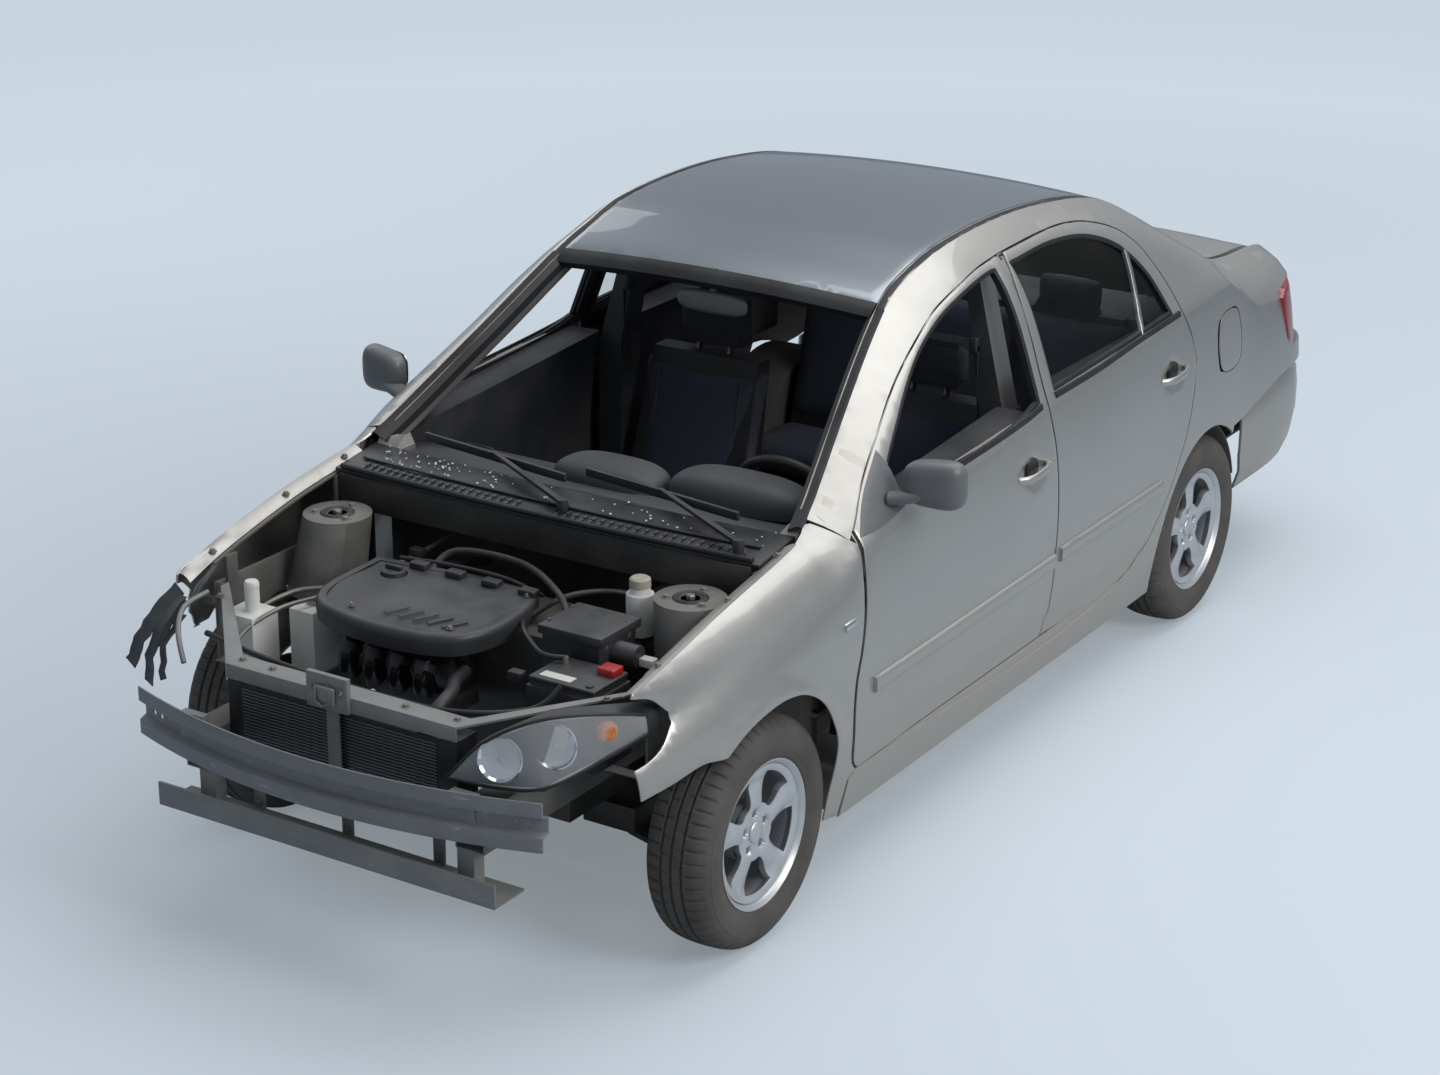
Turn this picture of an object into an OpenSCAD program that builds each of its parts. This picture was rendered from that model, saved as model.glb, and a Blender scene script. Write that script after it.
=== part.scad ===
// A compact four-door saloon after a frontal crash. The bonnet, the front bumper cover and the
// right headlamp are gone. Front is -Y, the car's left is +X, and it stands on Z = 0.

/* [Stance] */
// Distance between the axles
wheelbase = 2600; // [2400:10:2800]
// Front axle's place along Y
front_axle_y = -1435; // [-1500:5:-1380]
// Tyre radius
tyre_r = 302; // [285:1:312]
// Tyre width
tyre_w = 185; // [155:5:195]
// Tyre's middle, from the centre line
half_track = 736; // [715:1:738]

/* [Body] */
// Half of the body's width
half_w = 850; // [840:1:880]
// Underside of the sills
sill_z = 185; // [165:5:200]
// Thickness of the sheet-metal panels, with their hems
skin_t = 6; // [4:0.5:8]
// Thickness of a whole door
door_t = 135; // [115:1:140]
// Thickness of the door window frames
frame_t = 22; // [18:1:24]
// Gap between panels that move
shut_gap = 8; // [6:0.5:10]
// Crown of the roof across its width
roof_crown = 25; // [10:1:40]

/* [Wheels] */
// Rim lip radius
rim_r = 195; // [185:1:200]
// Hub bore radius
hub_bore_r = 14; // [12:0.5:16]
// Running clearance at pins and axles
run_gap = 0.1; // [0.05:0.01:0.1]

/* [Engine bay] */
// Engine block length across the car
engine_l = 560; // [480:10:600]
// Top of the engine block
engine_z = 740; // [700:5:745]
// Crash beam height
beam_h = 127; // [100:1:140]

/* [Hidden] */

rear_axle_y = front_axle_y + wheelbase;
tail_y = 2205;
seat_gap = 0.3;

// The shoulder line, where the side turns into the wing top, screen pillar, roof and boot: [y, z]
shoulder_z = [[-2205, 650], [-2050, 722], [-1850, 795], [-1650, 850], [-1400, 903], [-1150, 942],
    [-1080, 958], [-980, 1008], [-700, 1178], [-378, 1366], [-230, 1416], [-80, 1450], [233, 1466],
    [537, 1450], [864, 1398], [1100, 1300], [1350, 1172], [1580, 1062], [1700, 1040], [1970, 1018],
    [2205, 960]];
// The same line in plan: [y, x]
shoulder_x = [[-2205, 560], [-2050, 640], [-1850, 698], [-1440, 712], [-1150, 706], [-1080, 695],
    [-378, 540], [-80, 535], [537, 540], [864, 552], [1350, 596], [1640, 628], [1970, 618],
    [2205, 560]];
widest_z = 560;
low_z = 190;
tuck_top = 40;
tuck_low = 46;

function slope(p, i) = let(a = max(0, i - 1), b = min(len(p) - 1, i + 1))
    (p[b][1] - p[a][1]) / (p[b][0] - p[a][0]);
function span(p, y, i = 0) = i >= len(p) - 2 || y < p[i + 1][0] ? i : span(p, y, i + 1);
function curve(p, y_any) = let(y = max(p[0][0], min(p[len(p) - 1][0], y_any)), i = span(p, y),
    h = p[i + 1][0] - p[i][0], t = (y - p[i][0]) / h)
    (2*pow(t, 3) - 3*t*t + 1)*p[i][1] + (pow(t, 3) - 2*t*t + t)*h*slope(p, i)
    + (3*t*t - 2*pow(t, 3))*p[i + 1][1] + (pow(t, 3) - t*t)*h*slope(p, i + 1);

// Half-width of the body at its widest height
tail_y0 = 1500;
tail_x = half_w - 18;
tail_power = 5;
function plan(y) = y > tail_y0
    ? tail_x*pow(max(0, 1 - pow((y - tail_y0)/(tail_y - tail_y0), tail_power)), 1/tail_power)
    : half_w - 250*pow(max(0, (-1000 - y)/1200), 2.6) - 18*pow(max(0, (y - 600)/(tail_y0 - 600)), 2);
function rail_z(y) = curve(shoulder_z, y);
function rail_x(y) = curve(shoulder_x, y);
function belt(y) = let(a = 992 + 0.062*y, b = rail_z(y) - 110, m = min(a, b), k = 12)
    m - k*ln(exp((m - a)/k) + exp((m - b)/k));
// The side surface of the body: x for a place y, z
function side_x(y, z) = let(p = plan(y), zb = belt(y), s = min(1.15, (z - zb)/(rail_z(y) - zb)))
    z <= widest_z ? p - tuck_low*pow((widest_z - z)/(widest_z - low_z), 2)
    : z <= zb ? p - tuck_top*pow((z - widest_z)/(zb - widest_z), 2.4)
    : let(x0 = p - tuck_top) x0 + (rail_x(y) - x0)*(0.62*s + 0.38*pow(s, 5));
function roof_z(x, y) = rail_z(y) + roof_crown*(1 - pow(x/rail_x(y), 2));

// Evaluates its children as one smooth mesh
module pressed() resize([0, 0, 0]) children();
function steps(a, b, n) = [for (i = [0 : n]) a + (b - a)*i/n];

// A sheet with an outer face f(u, v) and an inner face g(u, v)
module sheet(us, vs, f, g) {
    nu = len(us);
    nv = len(vs);
    n = nu*nv;
    points = concat([for (u = us) for (v = vs) f(u, v)], [for (u = us) for (v = vs) g(u, v)]);
    across = cross(points[nv] - points[0], points[1] - points[0]);
    outward = across*(points[0] - points[n]) > 0;
    quads = [for (i = [0 : nu - 2]) for (j = [0 : nv - 2])
        let(a = i*nv + j, b = a + 1, c = a + nv + 1, d = a + nv) [a, b, c, d]];
    rim = concat([for (j = [0 : nv - 2]) [j, j + 1]],
        [for (i = [0 : nu - 2]) [i*nv + nv - 1, (i + 1)*nv + nv - 1]],
        [for (j = [nv - 2 : -1 : 0]) [(nu - 1)*nv + j + 1, (nu - 1)*nv + j]],
        [for (i = [nu - 2 : -1 : 0]) [(i + 1)*nv, i*nv]]);
    faces = concat(
        [for (q = quads) for (t = [[q[0], q[1], q[2]], [q[0], q[2], q[3]]]) t],
        [for (q = quads) for (t = [[q[2], q[1], q[0]], [q[3], q[2], q[0]]]) [for (k = t) k + n]],
        [for (e = rim) for (t = [[e[1], e[0], e[0] + n], [e[1], e[0] + n, e[1] + n]]) t]);
    polyhedron(points, outward ? faces : [for (t = faces) [t[2], t[1], t[0]]], convexity = 8);
}

// Height on the side: -1 at the sill's underside, 0 at the belt line, 1 at the shoulder line
function level(y, h) = h < 0 ? belt(y) + h*(belt(y) - sill_z) : belt(y) + h*(rail_z(y) - belt(y));
// A slab of the left body side, from depth d0 to d1 under the surface
module side_slab(y0, y1, h0, h1, d0, d1, ny, nh)
    sheet(steps(y0, y1, ny), steps(h0, h1, nh),
        function(y, h) let(z = level(y, h)) [side_x(y, z) - d0, y, z],
        function(y, h) let(z = level(y, h)) [side_x(y, z) - d1, y, z]);

// Extrudes a side-view outline of [y, z] points across the left half of the body
module side_view(x0, x1) translate([x0, 0, 0]) rotate([90, 0, 90])
    linear_extrude(x1 - x0) children();
module both_sides() {
    children();
    mirror([1, 0, 0]) children();
}

// Outlines of the openings and shut lines in the side view: [y, z]
front_gap = [[-1006, 319], [-1028, 343], [-1044, 430], [-1051, 516], [-1042, 590], [-1019, 652],
    [-990, 750], [-977, 819], [-968, 880], [-962, 919]];
upper_gap = [[-961, 950], [-878, 1016], [-709, 1118], [-510, 1233], [-307, 1324], [-133, 1372],
    [0, 1395], [141, 1406], [425, 1409], [560, 1400], [686, 1377], [816, 1328], [880, 1275],
    [906, 1236], [945, 1170], [967, 1121], [985, 1060]];
middle_gap = [[46, 319], [55, 337], [70, 424], [81, 565], [90, 680], [94, 789], [92, 890],
    [80, 985], [78, 1060], [85, 1150], [100, 1298], [112, 1420]];
rear_gap = [[1027, 985], [1056, 894], [1033, 789], [981, 672], [925, 592], [866, 516], [800, 450],
    [730, 385], [665, 345], [593, 319]];
function flip(p) = [for (i = [len(p) - 1 : -1 : 0]) p[i]];
module door_hole() polygon(concat(front_gap, upper_gap, rear_gap));
module front_zone() polygon(concat([[-1300, 300]], [[-1300, 1500]], flip(middle_gap), [[46, 300]]));
module wheel_circle(y, r) translate([y, tyre_r]) circle(r);

arch_r = 338;
module front_arch() translate([front_axle_y + 20, tyre_r]) scale([0.92, 1]) circle(348, $fn = 40);
module rear_arch() translate([rear_axle_y, tyre_r]) circle(arch_r, $fn = 40);

// The welded side of the body: sill, pillars, cant rail and rear quarter
post_x0 = 610;
post_x1 = 690;
bumper_top = [[1380, 590], [1456, 596], [1640, 632], [1800, 657], [2300, 660]];
module body_side() pressed() {
    difference() {
        union() {
            side_slab(-1046, 600, -1, -0.75, 0, skin_t, 14, 3);
            side_slab(-1005, 1100, -0.12, 1, 0, 30, 26, 12);
            side_slab(560, 1500, -1, 1, 0, skin_t, 14, 20);
            side_slab(1490, 2150, -0.9, 1, 0, skin_t, 16, 12);
        }
        side_view(300, 900) door_hole();
        side_view(300, 900) rear_arch();
        side_view(300, 900) polygon(concat(bumper_top, [[2300, 100], [1380, 100]]));
        side_view(300, 900) lamp_outline(0.5);
        side_view(690, 900) offset(delta = 1) wing_outline();
        side_view(300, 900) polygon([[-1100, 800], [-1100, 1010], [-1022, 985], [-966, 938], [-955, 800]]);
        side_view(700, 900) flap_outline(7);
        side_view(700, 900) translate([-9, 0]) flap_outline(7);
    }
    // Sill box, pillars and the rail over the doors
    translate([post_x1 - 60, -1040, sill_z + 10]) cube([side_x(0, 250) - post_x1 + 52, 1660, 115]);
    translate([post_x0, -1060, sill_z + 100]) cube([post_x1 - post_x0, 90, 640]);
    hull() {
        translate([post_x0, -1075, 915]) cube([post_x1 - post_x0 - 20, 105, 5]);
        translate([post_x0 + 25, -1040, 955]) cube([40, 75, 5]);
    }
    hull() {
        translate([post_x0, 30, sill_z + 100]) cube([post_x1 - post_x0, 120, 5]);
        translate([post_x0, 40, 960]) cube([post_x1 - post_x0, 100, 5]);
    }
    hull() {
        translate([post_x0, 40, 960]) cube([post_x1 - post_x0 - 4, 90, 5]);
        translate([528, 60, 1425]) cube([36, 80, 5]);
    }
    translate([post_x0, 560, sill_z + 100]) cube([post_x1 - post_x0, 59.7, 130]);
    side_slab(985, 1230, -0.42, 0.84, 30, 60, 4, 8);
    flap_hinge();
}
// The fuel flap's hinge pin, held by two blocks behind the skin
flap_pin = [side_x(1243, 887) - 8, 1243];
flap_pin_r = 2.5;
module flap_hinge() {
    for (z = [858, 905]) translate([flap_pin[0] - 5, 1224, z]) cube([7, 22, 12]);
    translate([flap_pin[0], flap_pin[1], 858]) cylinder(h = 59, r = flap_pin_r, $fn = 24);
}
module hinged_side() {
    body_side();
    hinge_leaf(front_hinge_y);
    hinge_leaf(rear_hinge_y);
}
module body_side_left() color([0.66, 0.66, 0.64]) hinged_side();
module body_side_right() color([0.66, 0.66, 0.64]) mirror([1, 0, 0]) hinged_side();

// Doors: a thick lower shell, an outer skin that laps the hinge, and a frame round the window
hinge_x = 812;
front_hinge_y = -945;
rear_hinge_y = 198;
hinge_zs = [430, 800];
pin_r = 6;
shell_in = 35;
module door_zone(rear, grow) offset(delta = -grow) intersection() {
    door_hole();
    if (rear) difference() { translate([0, 250]) square([1200, 1250]); front_zone(); }
    else front_zone();
}
front_glass = [[-735, 968], [-735, 1052], [-680, 1090], [-386, 1272], [-140, 1350], [0, 1372], [62, 1376],
    [40, 1020], [-45, 998]];
rear_glass = [[140, 1376], [425, 1378], [640, 1346], [775, 1285], [868, 1190], [925, 1062],
    [700, 1052], [128, 1030]];
module door(rear) {
    hinge_y = rear ? rear_hinge_y : front_hinge_y;
    shell_y0 = hinge_y + 20;
    shell_y1 = rear ? 960 : 20;
    pressed() difference() {
        union() {
            intersection() {
                side_slab(rear ? 30 : -1060, rear ? 1075 : 110, -0.86, 0.05, 0, skin_t, 10, 8);
                side_view(600, 900) door_zone(rear, shut_gap/2);
            }
            intersection() {
                side_slab(rear ? 30 : -1060, rear ? 1075 : 110, -0.84, 0, skin_t - 1, door_t, 9, 6);
                side_view(600, 900) intersection() {
                    door_zone(rear, shell_in);
                    translate([shell_y0, 345]) square([shell_y1 - shell_y0, 650]);
                }
            }
            intersection() {
                side_slab(rear ? 30 : -1000, rear ? 1075 : 145, -0.06, 0.97, 0, frame_t, 12, 10);
                side_view(300, 900) door_zone(rear, 5);
            }
        }
        side_view(300, 900) offset(r = 8, $fn = 16) offset(delta = -8)
            polygon(rear ? rear_glass : front_glass);
        for (z = hinge_zs) translate([hinge_x - 30, shell_y0 - 70, z - 40])
            cube([60, 71, 80]);
    }
    // Hinge straps on the door, bored for the pin
    for (z = hinge_zs) difference() {
        translate([0, 0, z - 22]) union() {
            translate([hinge_x, hinge_y, 0]) cylinder(h = 20, r = 13, $fn = 32);
            translate([hinge_x - 13, hinge_y, 0]) cube([26, shell_y0 - hinge_y + 1, 20]);
        }
        translate([hinge_x, hinge_y, z - 30]) cylinder(h = 60, r = pin_r + run_gap, $fn = 32);
    }
}
module door_paint() color([0.66, 0.66, 0.64]) children();
module door_front_left() door_paint() door(false);
module door_front_right() door_paint() mirror([1, 0, 0]) door(false);
module door_rear_left() door_paint() door(true);
module door_rear_right() door_paint() mirror([1, 0, 0]) door(true);

// Fixed halves of the door hinges, on the pillars
module hinge_leaf(hinge_y) for (z = hinge_zs) {
    translate([hinge_x, hinge_y, z - 24]) cylinder(h = 40, r = pin_r, $fn = 32);
    translate([post_x1 - 1, hinge_y - 12, z]) cube([hinge_x - post_x1 + 12, 24, 12]);
    translate([post_x1 - 1, hinge_y - 60, z]) cube([22, 72, 12]);
}

// Door mirrors: housing on a foot at the window's front corner
mirror_y = -735;
mirror_z = 1030;
module door_mirror() {
    hull() {
        translate([895, mirror_y, mirror_z]) scale([0.92, 0.55, 0.78]) sphere(90, $fn = 20);
        translate([870, mirror_y + 25, mirror_z]) scale([0.7, 0.3, 0.75]) sphere(88, $fn = 20);
    }
    hull() {
        translate([side_x(-760, 985) + seat_gap, -850, 985]) cube([3, 90, 20]);
        translate([850, mirror_y - 20, 985]) cube([30, 40, 20]);
    }
}
module door_mirror_left() color([0.2, 0.2, 0.21]) door_mirror();
module door_mirror_right() color([0.2, 0.2, 0.21]) mirror([1, 0, 0]) door_mirror();

// Side outlines of the tail lamp and the fuel flap
module lamp_outline(grow) offset(delta = grow)
    polygon([[1830, 930], [1800, 905], [1840, 760], [1890, 720], [2300, 720], [2300, 960]]);
module flap_outline(grow) offset(r = 20 + grow, $fn = 32) translate([1270, 820]) square([130, 130]);

module fuel_flap() color([0.66, 0.66, 0.64]) {
    pressed() intersection() {
        side_slab(1240, 1430, -0.4, 0.2, 0, skin_t, 4, 5);
        side_view(700, 900) flap_outline(0);
    }
    difference() {
        translate([flap_pin[0] - 4, flap_pin[1] - 4, 880]) cube([6, 30, 16]);
        translate([flap_pin[0], flap_pin[1], 870]) cylinder(h = 40, r = flap_pin_r + run_gap, $fn = 24);
    }
}

// Front wings: the right one is torn and bent out ahead of its wheel arch
wing_front = [[-1847, 788], [-1790, 771], [-1744, 728], [-1744, 704], [-1797, 653], [-1846, 631],
    [-1878, 624], [-1868, 545], [-1780, 560]];
module wing_outline() difference() {
    polygon(concat(wing_front, [[-1677, 580], [-1606, 560], [-1500, 480], [-1180, 200],
        [-1060, sill_z + 10], [-1052, 300]],
        [for (p = front_gap) p - [shut_gap, 0]], [[-984, 930], [-1030, 978]],
        [for (y = steps(-1030, -1847, 24)) [y, rail_z(y)]]));
    front_arch();
}
module front_wing() {
    intersection() {
        side_slab(-1900, -960, -1, 1, 0, skin_t, 20, 18);
        side_view(400, 900) wing_outline();
    }
    // Top flange that the wing is bolted down by
    sheet(steps(-1840, -1110, 12), [0, 1],
        function(y, v) [rail_x(y) + 3 - 26*v, y, rail_z(y) - 1 - 14*v],
        function(y, v) [rail_x(y) + 3 - 26*v, y, rail_z(y) - 7 - 14*v]);
}
module front_wing_left() color([0.64, 0.62, 0.59]) pressed() front_wing();
module front_wing_right() color([0.6, 0.6, 0.6]) pressed() mirror([1, 0, 0]) difference() {
    front_wing();
    side_view(400, 900) polygon([[-1960, 300], [-1960, 700], [-1850, 690], [-1790, 640],
        [-1740, 655], [-1690, 560], [-1600, 300]]);
}

// Rear end: a rounded plan path, a from the centre line (0) to the side (1) and forwards (2)
function tail(a, d) = let(m = abs(a), s = sign(a)) m <= 1
    ? let(ex = abs(sin(90*m))/(tail_x - d), ey = abs(cos(90*m))/(tail_y - tail_y0 - d),
        r = pow(pow(ex, tail_power) + pow(ey, tail_power), -1/tail_power))
        [s*r*abs(sin(90*m)), tail_y0 + r*abs(cos(90*m))]
    : [s*(tail_x - d), tail_y0 - (m - 1)*1000];
function tail_at(x) = tail_y0
    + (tail_y - tail_y0)*pow(1 - pow(abs(x)/tail_x, tail_power), 1/tail_power);

// Roof skin, running down past the rear window to the boot gutter
ditch_w = 30.6;
module roof_panel() color([0.6, 0.63, 0.66]) pressed() difference() {
    sheet(steps(-388, 1622, 30), steps(-1, 1, 10),
        function(y, v) let(x = v*(rail_x(y) - ditch_w)) [x, y, roof_z(x, y)],
        function(y, v) let(x = v*(rail_x(y) - ditch_w)) [x, y, roof_z(x, y) - skin_t]);
    translate([0, 0, 900]) linear_extrude(600) offset(r = 30, $fn = 16) offset(delta = -30)
        window_plan(0);
}
module window_plan(grow) offset(delta = grow)
    polygon([[-445, 1015], [445, 1015], [525, 1590], [-525, 1590]]);
module rear_window() color([0.1, 0.14, 0.14, 0.6]) pressed() intersection() {
    sheet(steps(1000, 1600, 8), steps(-1, 1, 8),
        function(y, v) let(x = v*540) [x, y, roof_z(x, y) - 0.5],
        function(y, v) let(x = v*540) [x, y, roof_z(x, y) - 4.5]);
    translate([0, 0, 900]) linear_extrude(600) offset(r = 30, $fn = 16) offset(delta = -30)
        window_plan(-0.4);
}

// Boot lid on two gooseneck arms
lid_hinge = [1480, 975];
lid_t = 24;
arm_x = 500;
module boot_lid() color([0.66, 0.66, 0.64]) {
    pressed() difference() {
        union() {
            sheet(steps(-1, 1, 12), steps(0, 1, 8),
                function(u, v) lid_top(u, v, 0), function(u, v) lid_top(u, v, 8 + (lid_t - 8)*min(1, 5*v)));
            sheet(steps(-556, 556, 12), steps(668, 985, 6),
                function(x, z) [x, tail_at(x) - lid_lean(z), z],
                function(x, z) [x, tail_at(x) - lid_lean(z) - lid_t, z]);
        }
        // Corner cut-outs for the lamps
        both_sides() translate([556, 1900, 600]) cube([200, 400, 352]);
    }
    both_sides() translate([arm_x, lid_hinge[0], lid_hinge[1]]) rotate([90, 0, 90])
        linear_extrude(8) difference() {
            for (leg = [[[0, 0], [60, -115]], [[60, -115], [272, -115]], [[272, -115], [262, 44]]])
                hull() for (p = leg) translate(p) circle(9, $fn = 24);
            circle(5 + run_gap, $fn = 32);
        }
}
function lid_lean(z) = 58 + 50*pow(max(0, (z - 668)/317), 3);
function lid_top(u, v, d) = let(x0 = u*(rail_x(1800) - shut_gap), y1 = tail_at(x0) - 100,
    y = 1645 + v*(y1 - 1645), x = u*(rail_x(y) - ditch_w))
    [x, y, rail_z(y) + 18*(1 - u*u) - d - 26*pow(v, 6)];

bumper_path = concat([-1.04], steps(-1, 1, 32), [1.04]);
bumper_profile = [[34, 335], [10, 400], [0, 480], [0, 560], [6, 620], [22, 652]];
module rear_bumper() color([0.62, 0.62, 0.6]) pressed() difference() {
    union() {
        sheet(bumper_path, [0, 1, 2, 3, 4, 5], function(a, i) let(p = bumper_profile[i], q = tail(a, p[0]))
            [q[0], q[1], p[1]], function(a, i) let(p = bumper_profile[i], q = tail(a, p[0] + 9))
            [q[0], q[1], p[1]]);
        sheet(bumper_path, [0, 1], function(a, v) let(q = tail(a, 22 + 36*v)) [q[0], q[1], 655],
            function(a, v) let(q = tail(a, 22 + 36*v)) [q[0], q[1], 647]);
    }
    both_sides() side_view(500, 900) rear_arch();
    both_sides() side_view(500, 900)
        polygon(concat([for (p = bumper_top) p - [0, 5]], [[2300, 900], [1380, 900]]));
}
function lamp_lean(a, z) = let(y = tail(a, 0)[1], side = tail_x - side_x(tail_y0, z),
    t = pow(min(1, max(0, (a - 0.42)/0.3)), 2)) lid_lean(z)*(1 - t) + side*t;
module tail_lamps() color([0.55, 0.06, 0.06]) both_sides() pressed() intersection() {
    sheet(steps(0.42, 1, 14), steps(700, 965, 5),
        function(a, z) let(q = tail(a, lamp_lean(a, z))) [q[0], q[1], z],
        function(a, z) let(q = tail(a, lamp_lean(a, z) + 55)) [q[0], q[1], z]);
    side_view(560, 900) lamp_outline(0);
}
module back_panel() color([0.6, 0.6, 0.58]) {
    translate([-640, 2060, floor_z[1] + seat_gap]) cube([1280, 8, 664 - floor_z[1]]);
    translate([-560, 2068, 600]) cube([1120, 70, 46.7]);
}

// Floor pan with tunnel, raised rear floor, rear wheel houses and rails
floor_z = [200, 400];
step_y = 620;
well = [60, 1760];
module underbody() color([0.42, 0.43, 0.43]) {
    difference() {
        translate([-629.7, -960, floor_z[0]]) cube([1259.4, step_y + 960, 12]);
        translate([-110, -961, 190]) cube([220, step_y + 961, 30]);
    }
    difference() {
        translate([-122, -960, floor_z[0]]) cube([244, step_y + 960, 150]);
        translate([-110, -961, floor_z[0] - 1]) cube([220, step_y + 962, 139]);
    }
    difference() {
        translate([-700, step_y, floor_z[0]]) cube([1400, 12, floor_z[1] - floor_z[0]]);
        translate([-110, step_y - 1, 190]) cube([220, 60, 148]);
    }
    difference() {
        union() {
            translate([-700, step_y, floor_z[1] - 12]) cube([1400, 890, 12]);
            translate([-640, 1500, floor_z[1] - 12]) cube([1280, 560, 12]);
        }
        both_sides() translate([600, rear_axle_y, tyre_r]) rotate([0, 90, 0])
            cylinder(h = 300, r = arch_r + 6, $fn = 64);
        translate([well[0], well[1], 380]) cylinder(h = 40, r = 280, $fn = 64);
    }
    difference() {
        translate([well[0], well[1], 230]) cylinder(h = 170, r = 292, $fn = 64);
        translate([well[0], well[1], 240]) cylinder(h = 170, r = 280, $fn = 64);
    }
    both_sides() {
        difference() {
            translate([600, rear_axle_y, tyre_r]) rotate([0, 90, 0])
                cylinder(h = 195, r = arch_r + 6, $fn = 64);
            translate([608, rear_axle_y, tyre_r]) rotate([0, 90, 0])
                cylinder(h = 200, r = arch_r, $fn = 64);
            translate([590, 700, -200]) cube([300, 1000, floor_z[1] + 188]);
        }
        translate([400, -960, 150]) cube([70, step_y + 960, floor_z[0] - 150]);
        translate([480, 1700, 300]) cube([60, 360, floor_z[1] - 312]);
    }
}

// Rear seat bulkhead, parcel shelf and the brackets of the boot hinges
module rear_shelf() color([0.16, 0.16, 0.17]) {
    translate([-590, 1150, floor_z[1] + seat_gap]) cube([1180, 8, 540]);
    translate([-640, 1150, floor_z[1] + 540]) cube([1280, 290, 10]);
    both_sides() difference() {
        translate([arm_x - 8, 1425, 942]) cube([6, 75, 52]);
    }
    both_sides() translate([arm_x - 8, lid_hinge[0], lid_hinge[1]]) rotate([0, 90, 0])
        cylinder(h = 20, r = 5, $fn = 32);
}

// Bulkhead between the engine bay and the cabin, and the plenum box over it
bulkhead_y = -1085;
module firewall() color([0.3, 0.3, 0.31]) {
    difference() {
        union() {
            translate([seat_gap - post_x0, bulkhead_y, 212.3]) cube([2*(post_x0 - seat_gap), 10, 690]);
            translate([seat_gap - post_x0, bulkhead_y, 212.3]) cube([2*(post_x0 - seat_gap), 124.7, 10]);
        }
        translate([-122.3, bulkhead_y - 1, 190]) cube([244.6, 160, 160.3]);
        both_sides() translate([notch_x, bulkhead_y - 1, 200]) cube([200, notch_d + 1, notch_z - 200]);
    }
    // Notched corners that clear the tyres at full lock
    both_sides() {
        translate([notch_x - 8, bulkhead_y, 212.3]) cube([8, notch_d + 8, notch_z - 204]);
        translate([notch_x - 1, bulkhead_y + notch_d, 212.3])
            cube([post_x0 - seat_gap - notch_x + 1, 8, notch_z - 204]);
        translate([notch_x - 1, bulkhead_y, notch_z])
            cube([post_x0 - seat_gap - notch_x + 1, notch_d + 8, 8]);
    }
    difference() {
        translate([-650, -1250, 820]) cube([1300, 165, 92.7]);
        translate([-640, -1240, 830]) cube([1280, 145, 100]);
    }
    for (x = wiper_x) translate([x, wiper_y, 829]) cylinder(h = 75, r = 16, $fn = 32);
    // Brake servo and master cylinder
    translate([servo[0], bulkhead_y + 1, servo[1]]) rotate([90, 0, 0]) cylinder(h = 125, r = 100, $fn = 64);
    translate([servo[0], bulkhead_y - 120, servo[1]]) rotate([90, 0, 0]) cylinder(h = 190, r = 22, $fn = 40);
}
notch_x = 500;
notch_d = 50;
notch_z = 610;
servo = [403, 700];
wiper_x = [66, 600];
wiper_y = -1222;

// Inner wings: strut towers, aprons and front rails
strut = [558, -1374, 855];
rail_in = 375;
rail_out = 460;
module inner_wings() color([0.62, 0.6, 0.56]) both_sides() {
    difference() {
        hull() {
            translate([strut[0], strut[1], strut[2] - 4]) cylinder(h = 4, r = 92, $fn = 40);
            translate([590, strut[1] - 20, 640]) cylinder(h = 4, r = 105, $fn = 40);
        }
        hull() {
            translate([strut[0], strut[1], strut[2] - 10]) cylinder(h = 4, r = 86, $fn = 40);
            translate([590, strut[1] - 20, 639]) cylinder(h = 4, r = 99, $fn = 40);
        }
        translate([strut[0], strut[1], 800]) cylinder(h = 90, r = 26, $fn = 48);
    }
    pressed() sheet(steps(-1740, -1120, 12), [0, 1],
        function(y, v) [rail_x(y) - 2 - 40*v, y, rail_z(y) - 21.4],
        function(y, v) [rail_x(y) - 2 - 40*v, y, rail_z(y) - 28]);
    difference() {
        translate([668, -1740, 560]) cube([6, 620, 250]);
        translate([660, -1900, 752]) cube([30, 790, 100]);
        translate([600, front_axle_y, tyre_r]) rotate([0, 90, 0]) cylinder(h = 90, r = 352, $fn = 64);
    }
    for (y = [-1700, -1250]) translate([660, y, 740]) cube([14, 40, rail_z(y) - 765]);
    difference() {
        translate([rail_in, -2105, 428]) cube([rail_out - rail_in, 2105 + bulkhead_y - seat_gap, 110]);
        translate([rail_in + 4, -2106, 432]) cube([rail_out - rail_in - 8, 1015, 102]);
    }
    translate([rail_out - 1, -1750, 534]) cube([215, 30, 4]);
    translate([668, -1739.5, 534]) cube([6, 20, 30]);
    translate([668, -1756.7, 695]) cube([40, 22, 20]);
    translate([rail_out - 1, -1150, 534]) cube([215, 30, 30]);
}

// Front end: tie bar over the radiator, crossmember below it and the crash beam
tie_z = 735;
module upper_tie_bar() color([0.45, 0.45, 0.44]) {
    translate([-352, -2063, tie_z - 28]) cube([704, 62, 6]);
    translate([-352, -2063, tie_z - 60]) cube([704, 5, 38]);
    both_sides() {
        hull() {
            translate([350, -2063, tie_z - 28]) cube([2, 62, 6]);
            translate([638, -1752, tie_z + 12]) cube([2, 30, 6]);
        }
        translate([634, -1738, 640]) cube([34 - seat_gap, 5, 112]);
    }
    translate([-42, -2058, 452]) cube([38, 6, tie_z - 458]);
    difference() {
        translate([-85, -2077, tie_z - 62]) cube([125, 14, 90]);
        for (x = [-62, -22, 18]) translate([x, -2090, tie_z - 10]) rotate([-90, 0, 0])
            cylinder(h = 60, r = 8, $fn = 24);
    }
}
cross_z = 330;
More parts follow.
